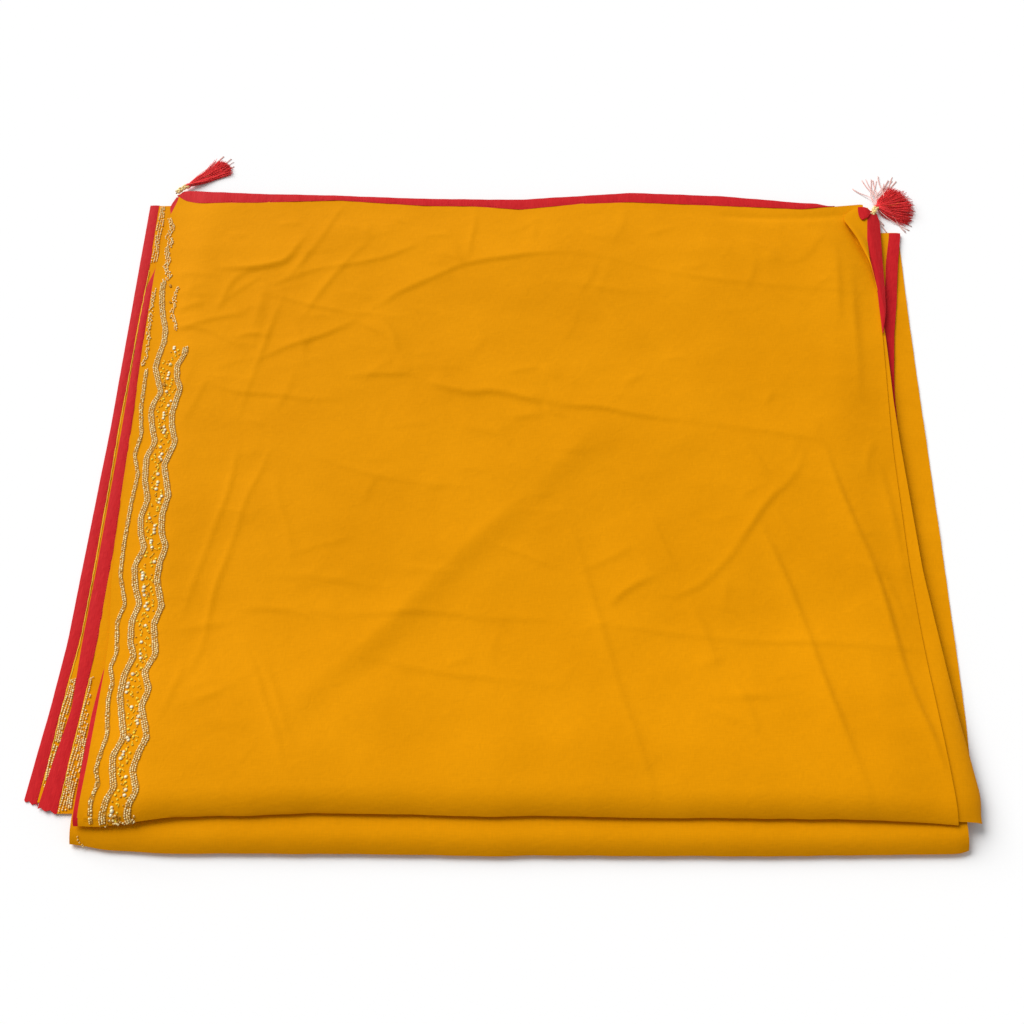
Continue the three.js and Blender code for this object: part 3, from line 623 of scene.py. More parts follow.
chiffon = chiffonMaterial()
satin = satinMaterial()
tasselYarn = threadMaterial("viscoseTasselYarn", "E2262B", "FA5252", 0.55)
strayYarn = threadMaterial("viscoseYarnFrayed", "E0A49C", "F8D8D0", 0.6)
# zari thread for the cord and the leaves; on the ribbon under the bead rows its dark tone is painted shade
# between the beads
zariThreadAndGapShade = threadMaterial("zariThreadAndBeadGapShade", "96600F", "CB8E2E", 0.5)
goldThread = threadMaterial("zariGoldTwisted", "C07A10", "E8B040", 0.4)
sprigThread = threadMaterial("silkSprigThread", "E8B81C", "F6DC58", 0.5)
glassBead = threadMaterial("glassBeadGoldLined", "EABC60", "FFF0BC", 0.2, 0.0, 420.0)
pearlSequin = threadMaterial("sequinPearlPressed", "DCC48C", "FBEFCB", 0.2, 0.1, 300.0)
stitchThread = threadMaterial("polyesterSewingThread", "A81820", "E0484C", 0.55)
print("materials made")


def finishPiece(piece, material, slotName, *nodes):
    piece.data.materials.clear()
    piece.data.materials.append(material)
    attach(piece, "root")
    if nodes:
        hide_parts(*nodes)
    return piece


# The pallu, on top of the pack: flat rows, rows round its front fold and rows turned back under it.
pallu = {"columns": 300, "flatRows": 250, "foldRows": 35, "returnRows": 3, "return": 6,
         "left": -545.0, "right": 550.0, "cut": (1.10, 1.13)}
palluRows = pallu["flatRows"] + pallu["foldRows"] + pallu["returnRows"]


def palluShape(u, v, depth):
    row = v * palluRows
    guess = mix(pallu["left"], pallu["right"], u)
    far = along(farEdge, guess, "cloth", "x")
    foldTop = along(frontEdge, guess, "upper", "x") + upperFold["depth"]
    run = mix(far, foldTop, np.minimum(row / pallu["flatRows"], 1))
    over = np.maximum(row - pallu["flatRows"], 0)
    run = run - np.minimum(over / pallu["foldRows"], 1) * upperFold["around"]
    under = np.maximum(over - pallu["foldRows"], 0) / pallu["returnRows"]
    run = run - under * pallu["return"]
    edgeY = np.clip(run, 40, 1090)
    x = mix(along(leftEdge, edgeY, "x"), along(rightEdge, edgeY, "x"), u)
    return onPallu(x, run, depth)


palluSheet = wovenSheet("palluStretch", palluShape, pallu["columns"], palluRows, pallu["cut"], 3)
finishPiece(palluSheet, chiffon, "chiffon", "pallu_stretch")
print("pallu made")

# The second front fold, under the pallu's.
secondFold = {"columns": 260, "legRows": 6, "noseRows": 30, "cut": (1.10, 0.13)}
secondSwell = [{"size": 120, "height": 1.9, "from": 51}, {"size": 40, "height": 0.7, "from": 57}]


def foldProfile(x, turned, depth):
    # a point round the second fold; turned is 0 on top, 1 at the nose and 2 underneath
    nose = along(frontEdge, x, "lower", "x")
    inFromEnd = smooth(x, lowerFold["left"], lowerFold["left"] + 30)
    swell = waves(x, np.zeros_like(x), secondSwell) * inFromEnd
    out, up = foldSection(turned * math.pi / 2, lowerFold["sag"])
    height = lowerFold["height"] - lowerFold["sink"] * (1 - smooth(x, -515, -300))
    y = nose + lowerFold["depth"] - (lowerFold["depth"] - depth + swell) * out
    return y, depth + (height - 2 * depth) * up


def secondFoldShape(u, v, depth):
    row = v * (secondFold["legRows"] * 2 + secondFold["noseRows"])
    x = mix(lowerFold["left"], lowerFold["right"], u)
    y, z = foldProfile(x, 2 * np.clip((row - secondFold["legRows"]) / secondFold["noseRows"], 0, 1), depth)
    topLeg = np.clip(1 - row / secondFold["legRows"], 0, 1)
    underLeg = np.clip((row - secondFold["legRows"] - secondFold["noseRows"]) / secondFold["legRows"], 0, 1)
    straight = along(frontEdge, x, "lower", "x") + lowerFold["depth"]
    return x, y + (pack["foldReturn"] - straight) * (topLeg + underLeg), z


secondFoldSheet = wovenSheet("frontLowerFold", secondFoldShape, secondFold["columns"],
                             secondFold["legRows"] * 2 + secondFold["noseRows"], secondFold["cut"])
finishPiece(secondFoldSheet, chiffon, "chiffon", "front_lower_fold")

# Inner layers of both front folds, which show at their ends, each ending a little further in.
nested = {"layers": 3, "width": 34, "columns": 10, "rows": 48, "wall": 0.9, "under": 0.6, "inset": 3.5}


def nestedShape(upper, outerX, inward, depthIn):
    def shape(u, v, depth):
        x = outerX + inward * u * nested["width"] + 0 * v
        if upper:
            foldTop = along(frontEdge, x, "upper", "x") + upperFold["depth"]
            return onPallu(x, foldTop - v * upperFold["around"] * 0.98 - 0.2, depthIn + depth)
        y, z = foldProfile(x, v * 2, depthIn + depth)
        return x, y, z
    return shape


for upper, leftX, rightX in ((True, -532, 543), (False, lowerFold["left"], lowerFold["right"])):
    for inward, endX in ((1, leftX), (-1, rightX)):
        for layer in range(1, nested["layers"] + 1):
            inset = layer * nested["inset"] + 2.5 * math.sin(layer * 2.7 + endX)
            side = "Left" if inward > 0 else "Right"
            name = "foldLayer" + ("Upper" if upper else "Lower") + side + str(layer)
            depthIn = layer * pack["step"] + nested["under"]
            inner = wovenSheet(name, nestedShape(upper, endX + inward * inset, inward, depthIn),
                               nested["columns"], nested["rows"], (0.034, 0.05), 1, nested["wall"])
            finishPiece(inner, chiffon, "chiffon")
print("front folds made")


def edgeOf(table, key, reach=9, shift=0):
    # an edge of a strip, for any y
    return lambda y: along(table, y, key, "y", reach) + shift


def stripShape(leftAt, rightAt, bottom, farY, nearY, ripple=0.0, crown=0.0, slant=0.0, seed=1):
    # a strip between two edges; ripple makes it uneven, crown swells its middle, slant cuts its near end
    def shape(u, v, depth):
        near = nearY + slant * u + 1.6 * np.sin(u * 13 + seed) * min(abs(slant), 1)
        y = mix(farY, near, v)
        x = mix(leftAt(y), rightAt(y), u)
        uneven = ripple * (np.sin(y / 13 + seed) * 0.4 + np.sin(y / 5.3 + x / 9 + seed * 2) * 0.3
                           + np.sin(y / 31 + seed * 3) * 0.6)
        swell = crown * np.sin(np.pi * u)
        low = bottom(x, y) if callable(bottom) else bottom
        z = low + pack["wall"] + np.maximum(uneven + swell, -0.2) * (1 if depth == 0 else 0) - depth
        return x, y, z
    return shape


def margin(name, node, slotName, material, cut, shape, columns, rows):
    piece = wovenSheet(name, shape, columns, rows, cut)
    return finishPiece(piece, material, slotName, node)


hiddenLeft = edgeOf(leftEdge, "x", shift=pack["hiddenInset"])
hiddenRight = edgeOf(rightEdge, "x", shift=-pack["hiddenInset"])

# Margins of the two lower layers on the left, each with its bound edge.
leftLevels = [
    {"name": "Outer", "bottom": 0.3, "near": 73, "end": 70, "seed": 2},
    {"name": "Inner", "bottom": 2.5, "near": 62, "end": 55, "seed": 5},
]
for level in leftLevels:
    edge = level["name"].lower()
    marginCloth = margin(
        "leftMargin" + level["name"], "left_margin_" + edge, "chiffon", chiffon, (0.045, 1.0),
        stripShape(edgeOf(leftMargins, edge + "Inside", shift=-0.5), hiddenLeft, level["bottom"],
                   1072, level["end"], 0.35, 0, 0, level["seed"]),
        12, 260)
    tape = margin(
        "leftBinding" + level["name"], "left_binding_" + edge, "satin_binding", satin, (0.018, 1.0),
        stripShape(edgeOf(leftMargins, edge), edgeOf(leftMargins, edge + "Inside"), level["bottom"],
                   1073, level["near"], 0.35, 0.5, -7, level["seed"] + 1),
        8, 260)

# The pallu's own binding on the left shows where it turns out from under the edge and at the front fold.
topTapeRun = {"far": 1087.0, "near": 16.0, "width": (1.0, 12.0), "proud": -0.4, "droop": 0.06}
turnedOut = {"y": [8, 30, 60, 106, 180, 215, 245, 262, 1036, 1046, 1056, 1066, 1078, 1087],
             "out": [2, 5, 6, 7, 6.5, 4.5, 2, -4, -4, -1, 5, 9, 8, 4]}


def topTapeShape(u, v, depth):
    run = mix(topTapeRun["far"], topTapeRun["near"], v)
    edge = along(leftEdge, run, "x") + 4 * (1 - smooth(run, 12, 40))
    sunk = mix(topTapeRun["proud"], pack["step"], smooth(run, 34, 64))
    inner = edge + mix(*topTapeRun["width"], smooth(run, 50, 95)) - 10 * smooth(run, 1062, 1087)
    x = mix(edge - along(turnedOut, run, "out", "y", 5), inner, u)
    _, y, z = onPallu(np.maximum(x, edge), run, sunk + depth)
    return x, y, z - topTapeRun["droop"] * np.maximum(edge - x, 0)


topTape = margin("leftBindingTop", "left_binding_top", "satin_binding", satin, (0.014, 1.0),
                 topTapeShape, 8, 300)

# Margins on the right: the lowest layer, then the middle one with its binding.
lowestRight = margin(
    "rightMarginLower", "right_margin_lower", "chiffon", chiffon, (0.06, 0.95),
    stripShape(hiddenRight, edgeOf(rightMargins, "lowest"), 0.3, 1014, 62, 0.5, 0, 0, 4),
    16, 240)
middleRight = margin(
    "rightMarginMiddle", "right_margin_middle", "chiffon", chiffon, (0.045, 0.43),
    stripShape(hiddenRight, edgeOf(middleBinding, "inside"), 2.6, 1011, 577, 0.4, 0, 0, 6),
    12, 110)
middleTape = margin(
    "rightBindingLower", "right_binding_lower", "satin_binding", satin, (0.016, 0.43),
    stripShape(edgeOf(middleBinding, "inside"), edgeOf(middleBinding, "outside"), 2.9,
               1011, 572, 0.4, 0.5, 0, 7),
    8, 110)

# The pleat rolls out from under the pallu's right edge.
pleat = {"edgeTop": 10.8, "depth": 1.35, "far": 815, "near": 34, "cut": (0.05, 0.8)}


def pleatShape(u, v, depth):
    run = mix(pleat["far"], pleat["near"], v)
    y = np.maximum(run, 46)
    inner = hiddenRight(y)
    outer = along(rightMargins, y, "pleat")
    share = np.sin(u * math.pi / 2)
    x = mix(inner, outer, share)
    underPallu = np.minimum(x, along(rightEdge, y, "x"))
    _, fullY, fullZ = onPallu(underPallu, run, pleat["depth"] + depth)
    fall = 1 - np.sqrt(np.clip(1 - (0.97 * share) ** 2, 0, 1))
    return x, fullY, mix(fullZ, pleat["edgeTop"] - depth, fall)


pleatSheet = margin("rightMarginUpper", "right_margin_upper", "chiffon", chiffon, pleat["cut"],
                    pleatShape, 24, 150)

# The turned corner lies on the pallu, with its binding beside it and a small turned end of that at the tip.
flap = {"cloth": 0.9, "lift": 3.2, "liftRun": 18, "tape": 1.1, "tip": 3.4, "past": 566, "droop": 0.25}
cornerEnd = {"y": [1030, 1035, 1045, 1053, 1057], "left": [556, 553, 552, 552.5, 553],
             "right": [558, 566, 572, 572, 563]}


def underFlap(x, y):
    # the turned corner stands off the cloth along its free edge
    away = x - along(turnedCorner, y, "left", "y", 4)
    free = smooth(y, 888, 940) * (1 - smooth(y, 1000, 1046))
    return packTop(x, y) + flap["cloth"] + flap["lift"] * free * (1 - smooth(away, 0, flap["liftRun"]))


def underTape(above):
    # the tape droops past the pallu's edge
    def bottom(x, y):
        droop = np.maximum(x - flap["past"], 0) * flap["droop"]
        return packTop(np.minimum(x, 563), y) + above - droop
    return bottom


cornerCloth = margin(
    "cornerFlap", "corner_flap", "chiffon", chiffon, (0.04, 0.165),
    stripShape(edgeOf(turnedCorner, "left", 4), edgeOf(turnedCorner, "right", 4), underFlap,
               1058, 884, 0.2, 0.8, 0, 3),
    20, 60)
cornerTape = margin(
    "rightBindingCorner", "right_binding_corner", "satin_binding", satin, (0.016, 0.165),
    stripShape(edgeOf(turnedCorner, "right", 4), edgeOf(turnedCorner, "binding", 4),
               underTape(flap["tape"]), 1052, 802, 0.3, 0.5, 0, 8),
    8, 80)
cornerTip = wovenSheet(
    "cornerTapeEnd",
    stripShape(edgeOf(cornerEnd, "left", 2), edgeOf(cornerEnd, "right", 2), underTape(flap["tip"]),
               1057, 1030, 0.2, 0.6, 0, 5),
    10, 20, (0.02, 0.03))
finishPiece(cornerTip, satin, "satin_binding")
print("margins made")

# Satin binding of the pallu end, pointed at its left end.
endTape = {"columns": 400, "rows": 8, "left": -540.0, "right": 517.0, "fall": 1.4, "crown": 0.5,
           "cut": (1.10, 0.018)}


def endTapeShape(u, v, depth):
    x = mix(endTape["left"], endTape["right"], u)
    cloth = along(farEdge, x, "cloth", "x", 5)
    full = smooth(x, -543, -530) * (1 - smooth(x, 488, endTape["right"]))
    out = mix(cloth, along(farEdge, x, "binding", "x"), full)
    y = mix(cloth - 1.5, out, 1 - v)
    ripple = 0.175 * np.sin(x / 11 + 2) + 0.125 * np.sin(x / 4.7) + 0.15 * np.sin(x / 29)
    crown = endTape["crown"] * np.sin(np.pi * v)
    z = packTop(x, np.minimum(y, cloth)) + 0.5 - endTape["fall"] * (1 - v) - depth * 1.6
    return x, y, z + (ripple + crown) * (1 if depth == 0 else 0)


endBinding = wovenSheet("palluEndBinding", endTapeShape, endTape["columns"], endTape["rows"],
                        endTape["cut"])
finishPiece(endBinding, satin, "satin_binding", "pallu_end_binding")
print("end binding made")

# Hidden layers: one rounded body whose far side and flanks show the folds of its layers.
hidden = {"columns": 90, "left": -515.0, "right": 520.0, "near": 78, "topPoints": 40, "bottomPoints": 12,
          "layers": 5, "perLayer": 6, "swell": 4.2, "below": 4.3, "belowHollow": 3.8, "bottom": 0.6}


def layerSwell(place1, place2, index, total):
    # how far a layered edge stands out at one of its steps
    inLayer = (index % hidden["perLayer"]) / hidden["perLayer"]
    layer = index // hidden["perLayer"]
    uneven = 2.2 * noise.noise(Vector((place1 / 60, layer * 3.1, place2)))
    return (hidden["swell"] + uneven) * math.sin(math.pi * inLayer) ** 0.6 if 0 < index < total else 0


def hiddenRing(share):
    # one section, from the far edge over the top, round the front folds and back along the underside
    x = mix(hidden["left"], hidden["right"], share)
    far = along(farEdge, np.array([x]), "cloth", "x")[0] - 4
    ys = np.linspace(far, hidden["near"], hidden["topPoints"])
    hollow = hidden["belowHollow"] * smooth(x, 460, 500) * smooth(ys, 825, 880)
    tops = packTop(np.full_like(ys, x), ys) - hidden["below"] - hollow
    ring = [(x, y, z) for y, z in zip(ys, tops)]
    ring += [(x, y, hidden["bottom"]) for y in np.linspace(hidden["near"], far, hidden["bottomPoints"])]
    count = hidden["layers"] * hidden["perLayer"]
    for index in range(1, count):
        z = mix(hidden["bottom"], tops[0], index / count)
        ring.append((x, far + layerSwell(x, 5, index, count) - 1, z))
    return ring


rings = [hiddenRing(i / hidden["columns"]) for i in range(hidden["columns"] + 1)]
hiddenBody = loft("hiddenLayers", rings, (1.1, 1.04))
finishPiece(hiddenBody, chiffon, "chiffon", "hidden_layers")

# Folded edges of the hidden layers along both sides, in the gap between the margins and the pallu.
flank = {"stations": 130, "layers": 4, "far": 1040, "near": 72, "in": 6, "out": 11, "above": 5.2,
         "under": 1.6, "hollow": 4}
for name, sideAt, outward, endY in (("hiddenEdgesLeft", hiddenLeft, -1, 3),
                                    ("hiddenEdgesRight", hiddenRight, 1, 9)):
    rings = []
    for y in np.linspace(flank["far"], flank["near"], flank["stations"]):
        inner = sideAt(y)
        edge = np.array([inner + outward * flank["out"]])
        top = (packTop(edge, np.array([y])) - pack["step"] - flank["under"])[0]
        if outward > 0:
            top = top - flank["hollow"] * smooth(y, 840, 890)
        count = flank["layers"] * hidden["perLayer"]
        back = inner - outward * flank["in"]
        ring = [(back, y, flank["above"]), (back, y, top)]
        for index in range(count + 1):
            out = flank["out"] - 4 + layerSwell(y, endY, index, count)
            ring.append((inner + outward * out, y, mix(top, flank["above"], index / count)))
        rings.append(ring)
    finishPiece(loft(name, rings, (0.05, 1.0)), chiffon, "chiffon")
print("hidden layers made")

# Beaded border: three wavy rows along the left edge, each traced by its crests and hollows, with a dark
# ribbon under the full rows as painted shade between their beads.
beading = {"spacing": 3.1, "size": (1.55, 1.15, 0.9), "lift": 0.85, "missing": 0.03,
           "gapShadeRibbon": {2: 6.2, 3: 9.2}, "gapShadeRibbonWall": 0.4}
beadRows = [
    {"name": "Edge", "lanes": 2, "lane": 2.6, "near": 34,
     "y": [20, 39, 62, 86, 103, 128, 151, 173, 202, 227, 248,
           270, 317, 343, 388, 437, 501, 550, 584, 620, 666, 735],
     "x": [-510, -515, -517, -511, -517, -514, -510, -514, -518, -516, -523,
           -518, -525, -518, -531, -533, -532, -529, -539, -534, -541, -542]},
    {"name": "Middle", "lanes": 3, "lane": 2.9, "near": 33,
     "y": [16, 30, 44, 66, 78, 99, 121, 146, 173, 206, 237, 264, 284,
           316, 342, 370, 401, 428, 450, 476, 507, 537, 578, 605, 629,
           657, 674, 691, 709, 738, 756, 786, 810, 835, 854, 885, 904],
     "x": [-494, -499, -501, -497, -490, -495, -498, -488, -495, -503, -502, -494, -502,
           -505, -498, -508, -513, -503, -511, -515, -509, -517, -521, -512, -519,
           -525, -523, -514, -520, -529, -527, -522, -523, -530, -534, -538, -538]},
    {"name": "Inner", "lanes": 3, "lane": 2.9, "near": 30,
     "y": [12, 26, 40, 55, 74, 101, 126, 144, 159, 188, 213, 239, 265, 310, 337,
           378, 404, 429, 451, 479, 511, 563, 602, 629, 651, 697, 714, 738, 759, 774],
     "x": [-462, -463, -470, -469, -461, -470, -465, -458, -462, -472, -466, -476, -465, -474, -467,
           -479, -478, -473, -482, -485, -480, -493, -482, -490, -493, -486, -493, -496, -487, -487]},
    # loose beads: where the border starts, beside it and along the pallu's edge
    {"name": "Start", "lanes": 3, "lane": 2.9, "near": 905, "loose": 1.0,
     "y": [904, 917, 930, 947, 970, 983, 1000, 1016, 1036],
     "x": [-537, -528, -539, -536, -542, -536, -543, -538, -545]},
    {"name": "Side", "lanes": 2, "lane": 3.4, "near": 806, "loose": 0.8,
     "y": [800, 816, 827, 843, 852, 868, 890], "x": [-507, -507, -511, -519, -513, -517, -514]},
    {"name": "Top", "lanes": 2, "lane": 2.8, "near": 744, "loose": 0.7,
     "y": [744, 762, 820, 863, 892], "x": [-549, -545, -549, -551, -549]},
]


def onBorder(x, run):
    # a point on the cloth with the cloth's own directions there
    here = np.stack(onPallu(x, run), axis=-1)
    right = np.stack(onPallu(x + 1, run), axis=-1) - here
    ahead = np.stack(onPallu(x, run + 1), axis=-1) - here
    right /= np.linalg.norm(right, axis=-1, keepdims=True)
    up = np.cross(right, ahead)
    up /= np.linalg.norm(up, axis=-1, keepdims=True)
    return here, right, np.cross(up, right), up


def roundBead():
    bpy.ops.object.select_all(action="DESELECT")
    bpy.ops.mesh.primitive_uv_sphere_add(segments=6, ring_count=4, radius=0.001)
    return bpy.context.object


def flatSequin():
    bpy.ops.object.select_all(action="DESELECT")
    bpy.ops.mesh.primitive_cylinder_add(vertices=10, radius=0.001, depth=0.001)
    return bpy.context.object


def sewnOn(name, xs, runs, headings, base, size, material, lift, uneven=0.12):
    # copies of one small piece on the cloth, each with its own heading and a slightly uneven size
    here, right, ahead, up = onBorder(np.asarray(xs, float), np.asarray(runs, float))
    headings = np.asarray(headings, float)[:, None]
    forward = ahead * np.cos(headings) + right * np.sin(headings)
    turns = np.stack([forward, np.cross(up, forward), up], axis=-1)
    share = np.clip(1 + uneven * rng.standard_normal((len(here), 1)), 0.72, 1.28)
    piece = joined(name, base, place(*(here + up * lift).T), turns, np.array(size)[None] * share)
    return finishPiece(piece, material, "gold_bead")


def sewnFlat(name, spots, headings, base, size, material):
    # copies on a level margin, at given spots
    spots = np.asarray(spots, float)
    cosines = np.cos(headings)
    sines = np.sin(headings)
    zeros = np.zeros(len(spots))
    turns = np.stack([np.stack([sines, cosines, zeros], axis=-1),
                      np.stack([-cosines, sines, zeros], axis=-1),
                      np.stack([zeros, zeros, zeros + 1], axis=-1)], axis=-1)
    share = np.clip(1 + 0.12 * rng.standard_normal((len(spots), 1)), 0.75, 1.25)
    piece = joined(name, base, place(*spots.T), turns, np.array(size)[None] * share)
    return finishPiece(piece, material, "gold_bead")


def ribbonShape(row):
    # a thin dark ribbon under a row of beads that follows it: painted shade in the gaps between the beads
    def shape(u, v, depth):
        run = mix(row["y"][-1] - 1.0, row["near"], v)
        x = along(row, run, "x", "y", 4) + (u - 0.5) * beading["gapShadeRibbon"][row["lanes"]]
        x, y, z = onPallu(x + 0.5 * np.sin(run / 3.1) * np.sign(u - 0.5), run, 0)
        return x, y - (0.45 - depth) * (1 - smooth(run, 30, 58)), z + 0.45 - depth
    return shape


bead = roundBead()
sequin = flatSequin()
for row in beadRows:
    runs = []
    xs = []
    headings = []
    for lane in range(row["lanes"]):
        side = (lane - (row["lanes"] - 1) / 2) * row["lane"]
        runLane = np.arange(row["near"], row["y"][-1], beading["spacing"]) + lane * 1.1
        runLane = runLane + rng.normal(0, 0.25, len(runLane))
        centre = along(row, runLane, "x", "y", 4)
        slope = (along(row, runLane + 2, "x", "y", 4) - along(row, runLane - 2, "x", "y", 4)) / 4
        kept = rng.random(len(runLane)) > beading["missing"] * (4 if row["lanes"] < 3 else 1)
        runs.append(runLane[kept])
        xs.append((centre + side + rng.normal(0, row.get("loose", 0.22), len(runLane)))[kept])
        headings.append((np.arctan(slope) + rng.normal(0, 0.2, len(runLane)))[kept])
    sewnOn("beadRow" + row["name"], np.concatenate(xs), np.concatenate(runs), np.concatenate(headings),
           bead, beading["size"], glassBead, beading["lift"])
    # under each full row, a dark ribbon whose colour is painted shade between its beads
    if "loose" not in row:
        gapShadeRibbon = wovenSheet("beadGapShade" + row["name"], ribbonShape(row), 4,
                            int((row["y"][-1] - row["near"]) / 3), (0.009, 1.0), 1, beading["gapShadeRibbonWall"])
        finishPiece(gapShadeRibbon, zariThreadAndGapShade, "gold_bead")

# Between the middle and inner rows: pale sprigs, yellow and amber spangles, pearl sequins, darker leaves.
filling = {
    "sprigStep": 9, "sprig": 4.6, "spangleStep": 5.5, "sequinStep": 24, "sequin": (2.3, 2.3, 0.5),
    "leaves": [(-506, 629), (-500, 572), (-511, 705), (-488, 356), (-481, 148),
               (-526, 895), (-522, 862), (-518, 834), (-488, 40), (-481, 34)],
}


def between(run, inset):
    # a place between the middle and inner rows
    low = along(beadRows[1], run, "x", "y", 4) + inset
    high = along(beadRows[2], run, "x", "y", 4) - inset
    return rng.uniform(low, max(high, low + 0.5))


sprigs = []
for run in np.arange(38, 765, filling["sprigStep"]):
    turn = rng.uniform(-1.2, 1.2)
    part = np.linspace(-0.5, 0.5, 4)
    sprigX = between(run, 7) + part * filling["sprig"] * math.sin(turn) + 0.8 * np.cos(part * 3)
    sx, sy, sz = onPallu(sprigX, run + part * filling["sprig"] * math.cos(turn))
    sprigs.append(np.stack([sx, sy, sz + 0.6], axis=-1))
finishPiece(threads("sprigs", sprigs, 0.62, 4), sprigThread, "gold_bead")
for name, material, size, start in (("spanglesYellow", sprigThread, (1.5, 1.5, 0.5), 36),
                                    ("spanglesAmber", goldThread, (1.3, 1.3, 0.5), 39)):
    spangleRuns = np.arange(start, 768, filling["spangleStep"])
    sewnOn(name, [between(run, 6.2) for run in spangleRuns], spangleRuns, np.zeros(len(spangleRuns)),
           sequin, size, material, 0.5)
sequinRuns = []
sequinXs = []
for run in np.arange(44, 780, filling["sequinStep"]):
    startX = between(run, 8)
    for index in range(rng.integers(1, 4)):
        sequinRuns.append(run + index * 5.4 + rng.normal(0, 0.8))
        sequinXs.append(startX + rng.normal(0, 1.4))
sewnOn("sequins", sequinXs, sequinRuns, np.zeros(len(sequinXs)),
       sequin, filling["sequin"], pearlSequin, 0.75)
sewnOn("leaves", [x for x, y in filling["leaves"]], [y for x, y in filling["leaves"]],
       rng.uniform(-0.7, 0.7, len(filling["leaves"])), bead, (4.0, 2.0, 0.8), zariThreadAndGapShade, 0.5)

# Loose beads and dark leaves where the border goes round the front fold.
for name, count, size, material in (("noseBeads", 34, beading["size"], glassBead),
                                    ("noseLeaves", 26, (2.2, 1.3, 0.8), zariThreadAndGapShade)):
    sewnOn(name, rng.uniform(-506, -460, count), rng.uniform(24, 44, count), rng.uniform(-1, 1, count),
           bead, size, material, 0.7)

# Beads that show on the two lower margins, in short rows from the red edge inwards.
marginBeads = [
    {"name": "marginBeadsFar", "far": 1069, "near": 952, "from": "outerInside", "to": "inner", "z": 1.9,
     "most": 3},
    {"name": "marginBeadsOuter", "far": 238, "near": 90, "from": "outerInside", "to": "inner", "z": 1.9,
     "most": 3},
    {"name": "marginBeadsInner", "far": 240, "near": 58, "from": "innerInside", "to": None, "z": 4.1,
     "most": 5},
]
for row in marginBeads:
    spots = []
    turns = []
    for y in np.arange(row["near"], row["far"], beading["spacing"]):
        low = along(leftMargins, y, row["from"]) + 1.6
        high = along(leftMargins, y, row["to"]) if row["to"] else low + mix(20, 4, smooth(y, 80, 240))
        high = min(high, along(leftEdge, y, "x") - 2)
        for lane in range(row["most"]):
            x = low + 1 + lane * 3.3 + 0.9 * math.sin(y / 11 + lane)
            if x < high and rng.random() > 0.12:
                spots.append((x, y + lane * 1.2 + rng.normal(0, 0.3), row["z"] + 0.5))
                turns.append(rng.normal(0, 0.3))
    sewnFlat(row["name"], spots, np.array(turns), bead, beading["size"], glassBead)

# Gold thread along the inner edge of both bindings on the left, and beads down the end of the second fold.
goldLines = []
for key, low, high, z in (("outerInside", 92, 940, 2.0), ("innerInside", 66, 240, 4.2)):
    ys = np.arange(low, high, 4.0)
    xs = along(leftMargins, ys, key) + 1.0 + 0.3 * np.sin(ys / 3)
    goldLines.append(np.stack([xs, ys, np.full_like(ys, z)], axis=-1))
finishPiece(threads("edgeGold", goldLines, 0.55, 4), sprigThread, "gold_bead")
turned = np.linspace(0.5, 1.5, 11)
endX = mix(-532.0, -523.5, smooth(turned, 0.4, 1.0)) + 0.7 * np.sin(turned * 17)
endY, endZ = foldProfile(endX, turned, -0.5)
sewnFlat("foldEndBeads", np.stack([endX, endY, endZ], axis=-1), turned * 0.9, bead, (1.3, 1.0, 1.0),
         glassBead)
print("beads sewn on")

# Stitches along the inner edge of both bindings of the left margins, the binding of the middle margin on
# the right and the pallu's end binding.
stitching = {"spacing": 4.2, "size": (1.4, 0.28, 0.22), "inside": 1.6}
stitchLines = [  # name, table of the edge, its key, near and far end, height, side
    ("stitchesOuter", leftMargins, "outerInside", 66, 1066, 1.95, -1),
    ("stitchesInner", leftMargins, "innerInside", 62, 1066, 4.15, -1),
    ("stitchesMiddle", middleBinding, "inside", 590, 1006, 4.5, 1),
]
for name, table, key, near, far, z, side in stitchLines:
    ys = np.arange(near, far, stitching["spacing"])
    xs = along(table, ys, key) + side * stitching["inside"]
    sewnFlat(name, np.stack([xs, ys, np.full_like(ys, z)], axis=-1), rng.normal(0, 0.06, len(ys)),
             bead, stitching["size"], stitchThread)
xs = np.arange(-505, 503, stitching["spacing"])
ys = along(farEdge, xs, "cloth", "x") + stitching["inside"]
zs = packTop(xs, ys - 3) + 0.5
sewnFlat("stitchesEnd", np.stack([xs, ys, zs], axis=-1), math.pi / 2 + rng.normal(0, 0.06, len(xs)),
         bead, stitching["size"], stitchThread)
print("stitches made")

# Tassels: threads that leave a wrapped head, gold threads, frayed ends and a beaded cord to the corner.
tasselParts = {"head": 0.0042, "thread": 0.36, "fray": 0.4, "gold": 0.42, "cord": 1.1,
               "beads": 15, "bead": (3.3, 2.5, 2.3), "beadsOut": 2.6}
tassels = [
    {"name": "tasselLeft", "node": "tassel_left", "collar": "tassel_left_collar", "at": (-526, 1111, 6.4),
     "heading": 40.5, "spread": 9, "bulge": 4.5, "count": 400, "lengths": (63, 80), "tipRise": 5,
     "strays": [((-459, 1170), 3), ((-457, 1161), -4), ((-477, 1183), 3), ((-463, 1178), -3)],
     "cord": 22, "cordTurn": -136},
    {"name": "tasselRight", "node": "tassel_right", "collar": "tassel_right_collar",
     "at": (585, 1063.5, 7.4), "heading": 11, "spread": 41, "bulge": 8, "count": 560,
     "lengths": (38, 61), "tipRise": 9,
     "strays": [((553, 1110), -7), ((572, 1129), -6), ((578, 1131), -5), ((586, 1132), 5),
                ((589, 1129), -4), ((595, 1128), 6), ((599, 1138), -9), ((606, 1122), -5),
                ((609, 1116), 5), ((615, 1129), 6), ((622, 1136), -5), ((621, 1128), 4),
                ((627, 1127), 5), ((648, 1062), 3), ((638, 1028), 6), ((627, 1016), 7),
                ((633, 1020), -4), ((597, 1014), -6), ((595, 1030), -7)],
     "cord": 21, "cordTurn": -121},
]


